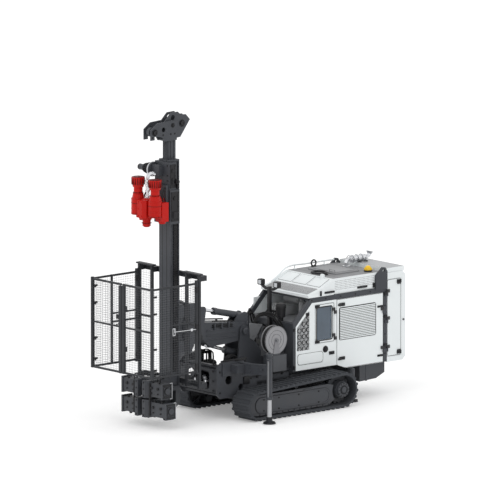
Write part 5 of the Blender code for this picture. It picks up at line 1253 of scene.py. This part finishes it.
class RIG_OT_head_fittings(bpy.types.Operator):
    """Ribbed motor caps, bands, bolts, thin rings of painted shade in the seams and the flushing pipe
    of the rotary head
    """

    bl_idname = "rig.head_fittings"
    bl_label = "Rotary head fittings"

    def execute(self, context):
        y = MOTOR_Y
        rib = block((0.083, 0.1035), (-0.0065, 0.0065), (3.665, 3.77), 0.003, 1)
        cap = rod((DRILL_X, y, 3.776), (DRILL_X, y, 3.782), 0.098, sides=28, edge=0.003)
        inset(cap, outward("z"), 0.02, -0.005)
        ribs = [cap, *wheel(rib, (DRILL_X, y, 0.0), 16)]
        ribs += bolts(around((DRILL_X, y, 3.782), "z", 0.06, 6), (0, 0, 1), 0.008)
        bands = [ring((DRILL_X, y, z), (0, 0, 1), radius, thick) for z, radius, thick in HEAD_RINGS]
        bands += bolts(around((DRILL_X, y, 3.4475), "z", 0.088, 8), (0, 0, 1), 0.007)
        bands += bolts([(2.0605, 0.225, z) for z in (3.165, 3.195)], (1, 0, 0), 0.009)
        bands += bolts([(2.2505, 0.035, z) for z in (3.22, 3.325, 3.43)], (1, 0, 0), 0.009)
        bands += [rod((1.995, 0.295, 3.29), (1.995, 0.2995, 3.29), 0.045),
                  rod((1.995, 0.225, 3.105), (1.995, 0.225, 3.145), 0.052, 0.06, sides=18)]
        # Thin dark rings in the seams and a dark disc in the cap's hollow: painted shade
        dark = [ring((DRILL_X, y, z), (0, 0, 1), radius, 0.0035, 28, 6) for z, radius in HEAD_SHADE_RINGS]
        dark.append(rod((DRILL_X, y, 3.7785), (DRILL_X, y, 3.7865), 0.074, sides=28, edge=0.002))
        bands = both(bands)
        bands += [ring((DRILL_X, 0, z), (0, 0, 1), 0.061, 0.004, 24, 6) for z in (3.06, 3.13)]
        bands.append(rod((DRILL_X, 0, 3.458), (DRILL_X, 0, 3.475), 0.075, 0.06, sides=24, edge=0.003))
        dark = both(dark)
        dark.append(ring((DRILL_X, 0, 3.1), (0, 0, 1), 0.0745, 0.004, 24, 6))
        gather(dark, "head_shade_rings", "feed_body", "head_paint_shaded")
        gather(bands, "head_bands", "feed_body", "head_paint")
        gather(both(ribs), "motor_cap_ribs", "feed_body", "head_paint_shaded")
        x = DRILL_X - 0.02
        pipe = [tube([(x, 0, 3.47), (x, 0, 3.62), (x, 0, 3.76), (2.075, 0, 3.815), (2.03, 0, 3.842),
                      (1.985, 0, 3.835)], 0.027, 3, 8)]
        pipe += [rod((x, 0, z - 0.013), (x, 0, z + 0.013), 0.037, edge=0.004)
                 for z in (3.5, 3.585, 3.67, 3.74)]
        pipe.append(rod((1.998, 0, 3.838), (1.955, 0, 3.828), 0.036, sides=8, edge=0.003))
        pipe.append(rod((x, 0, 3.8), (x, 0, 3.862), 0.02, 0.014, sides=14, edge=0.003))
        gather(pipe, "flushing_pipe", "feed_body", "bright_steel")
        return {"FINISHED"}


# name, axis across the panel, its place on that axis, width and height
MESH_PANELS = (
    ("front", "x", 2.597, (0.06, 0.676), (0.87, 2.2)),
    ("side", "y", 0.69, (1.728, 2.582), (0.87, 2.2)),
    ("rear", "x", 1.66, (0.415, 0.675), (0.67, 2.25)),
)


class RIG_OT_guard_mesh(bpy.types.Operator):
    """Wire mesh in the guard's leaves and rear panels"""

    bl_idname = "rig.guard_mesh"
    bl_label = "Guard mesh"

    def execute(self, context):
        sizes = context.scene.rig_sizes
        pitch = sizes.mesh_pitch
        for label, axis, at, across_span, up_span in MESH_PANELS:
            width = across_span[1] - across_span[0]
            height = up_span[1] - up_span[0]
            wipe()
            bpy.ops.mesh.primitive_grid_add(x_subdivisions=round(width / pitch),
                                            y_subdivisions=round(height / pitch), size=1.0)
            item = bpy.context.object
            item.scale = (width, height, 1.0)
            settle(item)
            turn = Matrix.Rotation(math.radians(90.0), 4, "X")
            if axis == "x":
                turn = Matrix.Rotation(math.radians(90.0), 4, "Z") @ turn
            middle = (sum(across_span) / 2, sum(up_span) / 2)
            place = (at, middle[0], middle[1]) if axis == "x" else (middle[0], at, middle[1])
            item.data.transform(Matrix.Translation(place) @ turn)
            modify(item, "WIREFRAME", thickness=sizes.mesh_wire, use_even_offset=False)
            for suffix, piece in (("L", item), ("R", across(item))):
                body = "mast_body" if label == "rear" else "guard_" + suffix
                gather([piece], "mesh_%s_%s" % (label, suffix), body, "wire_zinc")
        return {"FINISHED"}


class RIG_OT_guard_catches(bpy.types.Operator):
    """Catches, handles, rail caps and the slide bolt of the guard"""

    bl_idname = "rig.guard_catches"
    bl_label = "Guard catches"

    def execute(self, context):
        for suffix, side in SIDES:
            items = []
            for z in (1.845, 1.225):
                case = block((2.548, 2.578), (0.01, 0.062), (z - 0.04, z + 0.04), 0.005)
                inset(case, outward("x", -1), 0.008, 0.006)
                items.append(case)
            if side < 0:
                lock = block((2.55, 2.582), (0.062, 0.165), (1.665, 1.735), 0.006)
                inset(lock, outward("x", -1), 0.012, 0.008)
                items.append(lock)
                items.append(tube([(2.56, 0.1, 1.67), (2.545, 0.1, 1.62), (2.555, 0.14, 1.585),
                                   (2.575, 0.165, 1.575)], 0.009))
            for z in (1.84, 1.3, 0.98, 2.1):
                items.append(block((2.56, 2.58), (0.645, 0.672), (z - 0.024, z + 0.024), 0.004))
                items.append(block((2.5, 2.578), (0.683, 0.697), (z - 0.016, z + 0.016), 0.003))
            for z in (0.95, 1.55, 2.12):
                items.append(rod((1.715, 0.69, z - 0.045), (1.715, 0.69, z + 0.045), 0.0295, sides=16,
                                 edge=0.003))
            gather(to_side(items, side), "guard_catches_" + suffix, "guard_" + suffix, "black_fitting")
        bar = [rod((1.725, 0.7035, 1.52), (2.165, 0.7035, 1.528), 0.0062, sides=12, edge=0),
               frame_ring(pill((2.15, 2.202), (1.47, 1.585), 0.006, 2), "y", 0.6985, 0.7085, 0.01),
               block((1.8, 1.84), (0.6985, 0.7095), (1.5, 1.542), 0.003)]
        inset(bar[2], outward("y"), 0.006, -0.002)
        gather(bar, "guard_slide_bolt", "guard_L", "bright_steel")
        return {"FINISHED"}


# lower and upper edge, left and right end of each clamp
CLAMPS = ((0.45, 0.71, 0.475, 0.475), (0.15, 0.42, 0.56, 0.475))
CLAMP_PIPE = (2.206, 0.182)  # x and y of the upright pipe
# x, y and upper end of the studs below the clamps
CLAMP_STUDS = ((2.1, 0.4, 0.18), (2.1, -0.38, 0.18), (2.06, 0.12, 0.152), (2.06, -0.12, 0.152))


class RIG_OT_clamp_fittings(bpy.types.Operator):
    """End plates, ports, jaws, bolts and hoses of the rod clamps"""

    bl_idname = "rig.clamp_fittings"
    bl_label = "Clamp fittings"

    def execute(self, context):
        dark = []
        bright = []
        for low, high, near, far in CLAMPS:
            middle = (low + high) / 2
            half = (high - low) / 2 - 0.006
            for side, tip in ((1, near), (-1, far)):
                root = side * (tip - 0.001)
                span = sorted((root, side * (tip + 0.007)))
                bright.append(block((2.014, 2.022), span, (middle - half, middle + half), 0.002))
                for way in (-1, 1):
                    edge = middle + way * (half - 0.004)
                    rib = middle + way * (half - 0.03)
                    bright.append(block((2.022, 2.06), span, (edge - 0.004, edge + 0.004), 0.002))
                    dark.append(block((2.02, 2.2), (root - 0.006, root + 0.006),
                                      (rib - 0.012, rib + 0.012), 0.003))
                outline = pill((2.04, 2.19), (middle - 0.075, middle + 0.075), 0.012, 2)
                dark.append(frame_ring(outline, "y", *span, 0.01))
                dark.append(rod((DRILL_X, root, middle), (DRILL_X, side * (tip + 0.0145), middle),
                                0.058, sides=24, edge=0.003))
                dark += bolts([(DRILL_X + a * 0.066, root, middle + b * (half - 0.035))
                               for a in (-1, 1) for b in (-1, 1)], (0, side, 0), 0.011)
                for share in (0.45, 0.75):
                    y = side * tip * share
                    dark.append(rod((2.165, y, high - 0.03), (2.165, y, high + 0.002), 0.016, sides=6))
                    dark.append(rod((2.1945, y, middle + 0.03), (2.2145, y, middle + 0.03), 0.022,
                                    sides=18, edge=0.003))
                    dark.append(rod((2.1945, y, middle - 0.05), (2.2095, y, middle - 0.05), 0.013,
                                    sides=6))
            dark += bolts([(2.2505, y, z) for y in (-0.085, 0.085)
                           for z in (low + 0.03, middle, high - 0.03)], (1, 0, 0), 0.01)
            dark += bolts([(x, y, low + 0.0005) for x in (2.0, 2.2) for y in (-0.14, 0.14)], (0, 0, -1))
            jaw = block((2.07, 2.15), (0.036, 0.062), (low + 0.025, high - 0.025), 0.006)
            inset(jaw, outward("y", -1), 0.012, -0.004)
            bright += both([jaw])
        for x, y, top in CLAMP_STUDS:
            dark.append(rod((x, y, 0.13), (x, y, top), 0.022, 0.026, sides=18, edge=0.003))
        x, y = CLAMP_PIPE
        pipe = [rod((x, y, 0.185), (x, y, 0.675), 0.012, sides=14)]
        pipe += [rod((x, y, z - 0.016), (x, y, z + 0.016), 0.019, sides=6, edge=0.002)
                 for z in (0.2, 0.37, 0.5, 0.66)]
        dark += both(pipe)
        lines = []
        for y in (0.24, 0.3):
            lines.append(tube([(2.1, y, 0.695), (2.1, y, 0.735), (2.03, y * 0.8, 0.755),
                               (1.93, y * 0.55, 0.735), (1.86, 0.09, 0.7)], 0.011))
            lines.append(tube([(2.01, y, 0.3), (1.97, y, 0.32), (1.93, y * 0.7, 0.36),
                               (1.88, 0.12, 0.4)], 0.01))
        gather(dark, "clamp_caps", "mast_body", "black_fitting")
        gather(bright, "clamp_rims", "mast_body", "bright_steel")
        gather(both(lines), "clamp_hoses", "mast_body", "hose_rubber")
        return {"FINISHED"}


class RIG_OT_track_details(bpy.types.Operator):
    """Side plates, drive hubs and bolts of the tracks"""

    bl_idname = "rig.track_details"
    bl_label = "Track details"

    def execute(self, context):
        y = TRACK_FACE
        x, z = SPROCKET
        cover = plate(pill((-0.83, 0.67), (0.105, 0.345), 0.118, 8), "y", y - 0.002, y + 0.01, 0.004)
        inset(cover, outward("y"), 0.02, -0.006)
        hub = rod((x, 0.834, z), (x, 0.878, z), 0.118, 0.11, sides=36, edge=0.004)
        inset(hub, outward("y"), 0.03, -0.008)
        items = [cover, hub, block((-0.5, -0.3), (y - 0.001, y + 0.012), (0.352, 0.372), 0.003),
                 rod((x, 0.86, z), (x, 0.89, z), 0.052, 0.044, sides=24, edge=0.004),
                 rod((-0.98, 0.862, 0.2), (-0.98, 0.882, 0.2), 0.01, sides=6)]
        # Dark loop round the side cover: painted shade of the recess at its edge
        outline = pill((-0.836, 0.676), (0.099, 0.351), 0.122, 8)
        dark = [frame_ring(outline, "y", y - 0.001, y + 0.003, 0.005),
                ring((x, 0.8785, z), (0, 1, 0), 0.06, 0.0035, 30, 6)]
        dark += bolts([(-0.8 + 0.115 * step, y + 0.0005, 0.083) for step in range(13)],
                      (0, 1, 0), 0.007)
        dark += bolts([(a, y + 0.0045, b) for a in (-0.6, -0.2, 0.2, 0.5) for b in (0.14, 0.31)],
                      (0, 1, 0), 0.01)
        dark += bolts(around((x, 0.8765, z), "y", 0.096, 12), (0, 1, 0), 0.007)
        gather([across(item) for item in dark], "track_bolts_and_gap_shade_R", "carrier", "rubber_and_painted_shade")
        gather(dark, "track_bolts_and_gap_shade_L", "carrier", "rubber_and_painted_shade")
        twins = [across(item) for item in items]
        gather(items, "track_fittings_L", "carrier", "frame_paint")
        gather(twins, "track_fittings_R", "carrier", "frame_paint")
        return {"FINISHED"}


class RIG_OT_jack_details(bpy.types.Operator):
    """Guide rods, collars and bolts of the jack legs"""

    bl_idname = "rig.jack_details"
    bl_label = "Jack details"

    def execute(self, context):
        x, y = FRONT_JACK
        rear_x, rear_y = REAR_JACK
        shine = [rod((0.69, 1.16, 0.385), (0.69, 1.16, 1.0), 0.014, sides=16)]
        dark = [block((0.655, 0.708), (1.125, 1.185), (z - 0.014, z + 0.014), 0.004)
                for z in (0.4, 0.985)]
        dark += [ring((x, y, z), (0, 0, 1), 0.046, 0.006, 24, 6) for z in (1.005, 0.44)]
        dark += [rod((x, y, 1.07), (x, y, 1.092), 0.024, sides=6, edge=0.003),
                 rod((0.6855, 1.02, 0.82), (0.715, 1.02, 0.82), 0.02, sides=16, edge=0.003),
                 rod((rear_x, rear_y, 0.508), (rear_x, rear_y, 0.528), 0.02, sides=6, edge=0.002),
                 ring((rear_x, rear_y, 0.3), (0, 0, 1), 0.046, 0.005, 20, 6)]
        dark += bolts([(0.6855, a, b) for a in (0.74, 0.92) for b in (0.745, 0.825)], (1, 0, 0), 0.013)
        dark += bolts([(a, 0.4705, b) for a in (0.73, 0.96) for b in (0.705, 0.835)], (0, 1, 0), 0.013)
        gather(both(shine), "jack_guide_rods", "carrier", "grey_fitting")
        gather(both(dark), "jack_collars", "carrier", "frame_paint")
        feet = [("front_" + suffix, x, side * y) for suffix, side in SIDES]
        feet += [("rear_" + suffix, rear_x, side * rear_y) for suffix, side in SIDES]
        for place, x, y in feet:
            pad = [ring((x, y, 0.024), (0, 0, 1), 0.088, 0.005, 28, 6),
                   ring((x, y, 0.094), (0, 0, 1), 0.04, 0.005, 20, 6)]
            pad += bolts([(x + 0.07 * math.cos(a), y + 0.07 * math.sin(a), 0.0215)
                          for a in (0.8, 2.4, 3.9, 5.5)], (0, 0, 1), 0.007)
            gather(pad, "foot_rings_" + place, "foot_" + place, "black_fitting")
        return {"FINISHED"}


class RIG_OT_reel_details(bpy.types.Operator):
    """Wound hose, rims and painted shade lines of the hose reel, and its swivel"""

    bl_idname = "rig.reel_details"
    bl_label = "Reel details"

    def execute(self, context):
        x, z = REEL
        wound = []
        for layer, radius in enumerate((0.171, 0.187, 0.203)):
            for row in range(4):
                y = 0.4885 + 0.019 * row + 0.004 * (layer % 2)
                wound.append(ring((x, y, z), (0, 1, 0), radius, 0.0092, 36, 6))
        for step in range(3):
            strap = block((-0.012, 0.012), (0.4845, 0.5495), (0.1605, 0.2135), 0.004)
            strap.data.transform(Matrix.Translation((x, 0.0, z))
                                 @ Matrix.Rotation(math.tau * step / 3 + 0.4, 4, "Y"))
            wound.append(strap)
        gather(wound, "wound_hose", "reel_body", "hose_rubber")
        inner, outer = REEL_FACES
        rim = [ring((x, y, z), (0, 1, 0), 0.214, 0.0045, 48, 6) for y in (outer, inner)]
        rim += bolts(around((x, outer, z), "y", 0.1, 3, 0.5), (0, 1, 0), 0.006, 0.0035)
        gather(rim, "reel_rims", "reel_body", "grey_fitting")
        # Dark rings in the disc's grooves and dark lines along the bracket's edges: painted shade
        seams = [ring((x, outer, z), (0, 1, 0), radius, 0.0025, 44, 6)
                 for radius in (0.092, 0.15, 0.217)]
        seams += [block((a - 0.004, a + 0.004), (outer - 0.002, outer + 0.002), (z - 0.145, z - 0.1),
                        0.001, 1) for a in (x - 0.02, x + 0.02)]
        gather(seams, "reel_shade_lines", "reel_body", "rubber_and_painted_shade")
        fit = [rod((x, 0.586, z), (x, 0.608, z), 0.026, sides=6, edge=0.003),
               rod((x, 0.455, z), (x, 0.425, z), 0.03, sides=18, edge=0.003),
               rod((x, 0.435, z), (x, 0.435, z - 0.11), 0.014, sides=12)]
        gather(fit, "reel_swivel", "carrier", "grey_fitting")
        return {"FINISHED"}


# y of each hose at the house and at the nose
NOSE_HOSES = ((0.25, 0.106), (0.285, 0.13), (0.32, 0.118), (0.35, 0.106))


class RIG_OT_hoses(bpy.types.Operator):
    """Hoses between the house and the nose and along the boom, and the boom's clips and ribs"""

    bl_idname = "rig.hoses"
    bl_label = "Hoses"

    def execute(self, context):
        radius = context.scene.rig_sizes.hose
        runs = []
        ends = []
        for index, (y, near) in enumerate(NOSE_HOSES):
            rise = 0.035 * (index % 3)
            x = 0.08 - 0.022 * (index % 2)
            runs.append(tube([(-0.35, y, 1.1 + rise), (-0.29, y, 1.27 + rise),
                              (-0.16, y * 0.6 + near * 0.4, 1.425 + rise * 0.8),
                              (-0.02, near * 1.05, 1.425 + rise * 0.5), (x, near, 1.32),
                              (x + 0.025, near, 1.14), (x + 0.02, near, 0.9), (x, near, 0.66)], radius))
            ends.append(rod((-0.347, y, 1.08 + rise), (-0.326, y, 1.155 + rise), radius * 1.5, sides=6))
            ends.append(rod((x + 0.021, near, 0.92), (x + 0.023, near, 1.0), radius * 1.4, sides=6))
        for y in (0.08, 0.12):
            runs.append(tube([(-0.347, y, 1.22), (-0.24, y, 1.26), (-0.14, y, 1.18),
                              (-0.16, y * 1.4, 0.98), (-0.22, y * 1.6, 0.8),
                              (-0.22, y * 1.6, 0.655)], radius * 0.9))
        ends.append(block((0.04, 0.115), (0.092, 0.14), (0.64, 0.7), 0.004))
        gather(both(runs), "nose_hoses", "carrier", "hose_rubber")
        gather(both(ends), "hose_ends", "carrier", "grey_fitting")
        beside = [tube([(0.5, 0.112, 1.425), (0.62, 0.112, 1.438), (0.78, 0.112, 1.455),
                        (0.9, 0.112, 1.466)], 0.011)]
        beside += [tube([(0.52, 0.142, z - 0.015), (0.7, 0.144, z), (0.84, 0.144, z + 0.01),
                         (0.92, 0.138, z + 0.012)], 0.01) for z in (1.395, 1.365)]
        gather(both(beside), "boom_hoses", "boom_body", "hose_rubber")
        x, z = BOOM_PIN
        cap = rod((x, 0.199, z), (x, 0.214, z), 0.058, 0.05, sides=24, edge=0.003)
        inset(cap, outward("y"), 0.016, -0.005)
        clips = [cap]
        clips += [block((a - 0.012, a + 0.012), (0.129, 0.158), (1.335, 1.425), 0.003)
                  for a in (0.6, 0.74, 0.88)]
        clips += [block((0.44, 1.04), (0.1285, 0.139), (b - 0.009, b + 0.009), 0.003)
                  for b in (1.185, 1.255, 1.325)]
        gather(both(clips), "boom_clips", "boom_body", "frame_paint")
        return {"FINISHED"}


# x and z of the bolts on each side of the nose frame
NOSE_BOLTS = ((0.42, 0.42), (0.42, 0.58), (1.04, 0.42), (1.04, 0.74), (0.74, 0.8), (0.98, 0.84),
              (-0.2, 0.58), (0.05, 0.58))
# x and z of the gusset's corners
GUSSET = ((0.215, 1.365), (-0.05, 1.315), (0.12, 1.08), (0.2, 1.13))


class RIG_OT_nose_details(bpy.types.Operator):
    """Bolts, hooks, valves, lines, gussets and rams of the nose frame"""

    bl_idname = "rig.nose_details"
    bl_label = "Nose details"

    def execute(self, context):
        valve = block((0.52, 0.7), (0.245, 0.365), (0.648, 0.775), 0.008)
        inset(valve, outward("z"), 0.014, 0.012)
        arm = block((0.47, 0.985), (0.398, 0.417), (0.862, 0.905), 0.004)
        inset(arm, outward("y"), 0.008, -0.003)
        items = [valve, arm,
                 rod((0.5, 0.4075, 0.645), (0.5, 0.4075, 0.87), 0.013, sides=12),
                 rod((0.96, 0.4075, 0.79), (0.96, 0.4075, 0.87), 0.013, sides=12),
                 ring((1.015, 0.3, 0.862), (0, 1, 0), 0.03, 0.009, 22),
                 block((0.985, 1.045), (0.27, 0.33), (0.824, 0.84), 0.003),
                 block((0.46, 0.575), (0.449, 0.474), (0.5, 0.62), 0.006),
                 tube([(-0.32, 0.463, 0.605), (0.0, 0.463, 0.6), (0.4, 0.463, 0.6),
                       (0.51, 0.463, 0.565)], 0.011)]
        items += [block((x - 0.012, x + 0.012), (0.448, 0.479), (0.575, 0.628), 0.003)
                  for x in (-0.2, 0.05, 0.3)]
        items += bolts([(x, NOSE_HALF, z) for x, z in NOSE_BOLTS], (0, 1, 0), 0.013)
        items += bolts([(1.1005, 0.36, z) for z in (0.45, 0.6, 0.75)], (1, 0, 0))
        curls = []
        for index, x in enumerate((0.545, 0.59, 0.635, 0.68)):
            items.append(rod((x, 0.275, 0.78), (x, 0.275, 0.835), 0.012, sides=10))
            items.append(block((x - 0.015, x + 0.015), (0.3645, 0.392), (0.665, 0.745), 0.004))
            lift = 0.9 + 0.025 * (index % 2)
            y = 0.3 + 0.02 * index
            curls.append(tube([(x, 0.275, 0.825), (x + 0.02, 0.275, lift),
                               (x + 0.13, y - 0.01, lift + 0.02), (x + 0.22, y, lift - 0.05),
                               (x + 0.24, y, 0.72 + 0.04 * index)], 0.011))
        gather(both(curls), "nose_lines", "carrier", "hose_rubber")
        gather(both(items), "nose_bolts", "carrier", "black_fitting", "dark_steel")
        gusset = plate(GUSSET, "y", 0.1695, 0.1795)
        inset(gusset, outward("y"), 0.014, -0.003)
        pale = [gusset]
        pale += bolts([(x, 0.179, z) for x, z in ((0.175, 1.315), (0.15, 1.16), (0.02, 1.3))],
                      (0, 1, 0), 0.009)
        gather(both(pale), "nose_gussets", "carrier", "grey_fitting")
        ram = [rod((0.56, 0.12, 0.565), (0.88, 0.12, 0.565), 0.04, edge=0.003),
               rod((0.88, 0.12, 0.565), (1.045, 0.12, 0.565), 0.02, sides=16),
               ring((0.86, 0.12, 0.565), (1, 0, 0), 0.04, 0.006, 22, 6),
               block((0.66, 0.7), (0.085, 0.155), (0.385, 0.545), 0.004)]
        gather(both(ram), "nose_rams", "carrier", "bright_steel")
        return {"FINISHED"}


FLOOR_SIZE = 120.0
FLOOR_Z = -0.004  # just below the tracks
FLOOR_GREY = 0.9
FLOOR_LIFT = 0.22  # the floor's own light, which whitens it
WORLD_LEVEL = 0.86
# name, turn, power and angle of each sun
SUNS = (("key", (40.0, 0.0, 95.0), 0.42, 50.0), ("fill", (55.0, 0.0, 190.0), 0.2, 70.0))


class RIG_OT_stage(bpy.types.Operator):
    """Set up the pale floor, the soft lights and the camera"""

    bl_idname = "rig.stage"
    bl_label = "Stage"

    def execute(self, context):
        scene = context.scene
        stage = scene.rig_stage
        wipe()
        bpy.ops.mesh.primitive_plane_add(size=FLOOR_SIZE, location=(0.0, 0.0, FLOOR_Z))
        floor = settle(context.object)
        floor.name = "studio_floor"
        material, tree, shader = new_material("studio_floor")
        tree.nodes.remove(shader)
        output = tree.nodes["Material Output"]
        diffuse = add_node(tree, "ShaderNodeBsdfDiffuse")
        diffuse.inputs["Color"].default_value = (FLOOR_GREY, FLOOR_GREY, FLOOR_GREY, 1.0)
        lift = add_node(tree, "ShaderNodeEmission")
        path = add_node(tree, "ShaderNodeLightPath")
        seen = math_node(tree, "MAXIMUM", path.outputs["Is Camera Ray"], path.outputs["Is Glossy Ray"])
        tree.links.new(math_node(tree, "MULTIPLY", seen, FLOOR_LIFT), lift.inputs["Strength"])
        total = add_node(tree, "ShaderNodeAddShader")
        tree.links.new(diffuse.outputs[0], total.inputs[0])
        tree.links.new(lift.outputs[0], total.inputs[1])
        tree.links.new(total.outputs[0], output.inputs["Surface"])
        floor.data.materials.append(material)
        world = bpy.data.worlds.new("studio")
        scene.world = world
        world.use_nodes = True
        tree = world.node_tree
        back = tree.nodes["Background"]
        path = add_node(tree, "ShaderNodeLightPath")
        seen = math_node(tree, "MAXIMUM", path.outputs["Is Camera Ray"],
                         math_node(tree, "MAXIMUM", path.outputs["Is Glossy Ray"],
                                   path.outputs["Is Transmission Ray"]))
        level = WORLD_LEVEL * stage.light
        strength = math_node(tree, "MULTIPLY_ADD", seen, 1.0 - level, level)
        back.inputs["Color"].default_value = (1.0, 1.0, 1.0, 1.0)
        tree.links.new(strength, back.inputs["Strength"])
        for name, turn, power, angle in SUNS:
            bpy.ops.object.light_add(type="SUN", rotation=[math.radians(a) for a in turn])
            lamp = context.object
            lamp.name = name
            lamp.data.energy = power * stage.light
            lamp.data.angle = math.radians(angle)
        aim = Vector(stage.aim)
        reach = math.cos(stage.elevation)
        away = Vector((math.cos(stage.azimuth) * reach, math.sin(stage.azimuth) * reach,
                       math.sin(stage.elevation)))
        bpy.ops.object.camera_add(location=aim + away * stage.distance,
                                  rotation=away.to_track_quat("Z", "Y").to_euler())
        camera = context.object
        camera.data.lens = stage.lens
        camera.data.sensor_width = 36.0
        camera.data.clip_end = 600.0
        scene.camera = camera
        scene.view_settings.view_transform = "Standard"
        return {"FINISHED"}


# In the order in which they run
OPERATORS = (
    RIG_OT_finish_nodes, RIG_OT_latches, RIG_OT_hinge_straps, RIG_OT_seals, RIG_OT_vents, RIG_OT_gauges,
    RIG_OT_side_details, RIG_OT_panel_bolts, RIG_OT_roof_fittings, RIG_OT_hood_cover, RIG_OT_beacon,
    RIG_OT_exhaust_rings, RIG_OT_lamp_glass, RIG_OT_machinery, RIG_OT_engine_details,
    RIG_OT_mast_fittings, RIG_OT_carriage_plates, RIG_OT_head_fittings, RIG_OT_guard_mesh,
    RIG_OT_guard_catches, RIG_OT_clamp_fittings, RIG_OT_track_details, RIG_OT_jack_details,
    RIG_OT_reel_details, RIG_OT_hoses, RIG_OT_nose_details, RIG_OT_stage,
)


class RIG_PT_panel(bpy.types.Panel):
    """Lists the steps that dress the rig"""

    bl_label = "Drilling Rig"
    bl_idname = "RIG_PT_panel"
    bl_space_type = "VIEW_3D"
    bl_region_type = "UI"
    bl_category = "Rig"

    def draw(self, context):
        for operator in OPERATORS:
            self.layout.operator(operator.bl_idname)


CLASSES = (RigColours, RigSizes, StageSizes, *OPERATORS, RIG_PT_panel)


def register():
    for cls in CLASSES:
        bpy.utils.register_class(cls)
    bpy.types.Scene.rig_colours = bpy.props.PointerProperty(type=RigColours)
    bpy.types.Scene.rig_sizes = bpy.props.PointerProperty(type=RigSizes)
    bpy.types.Scene.rig_stage = bpy.props.PointerProperty(type=StageSizes)


def unregister():
    del bpy.types.Scene.rig_colours
    del bpy.types.Scene.rig_sizes
    del bpy.types.Scene.rig_stage
    for cls in reversed(CLASSES):
        bpy.utils.unregister_class(cls)


def main():
    register()
    for operator in OPERATORS:
        getattr(bpy.ops.rig, operator.bl_idname.removeprefix("rig."))()


if __name__ == "__main__":
    main()
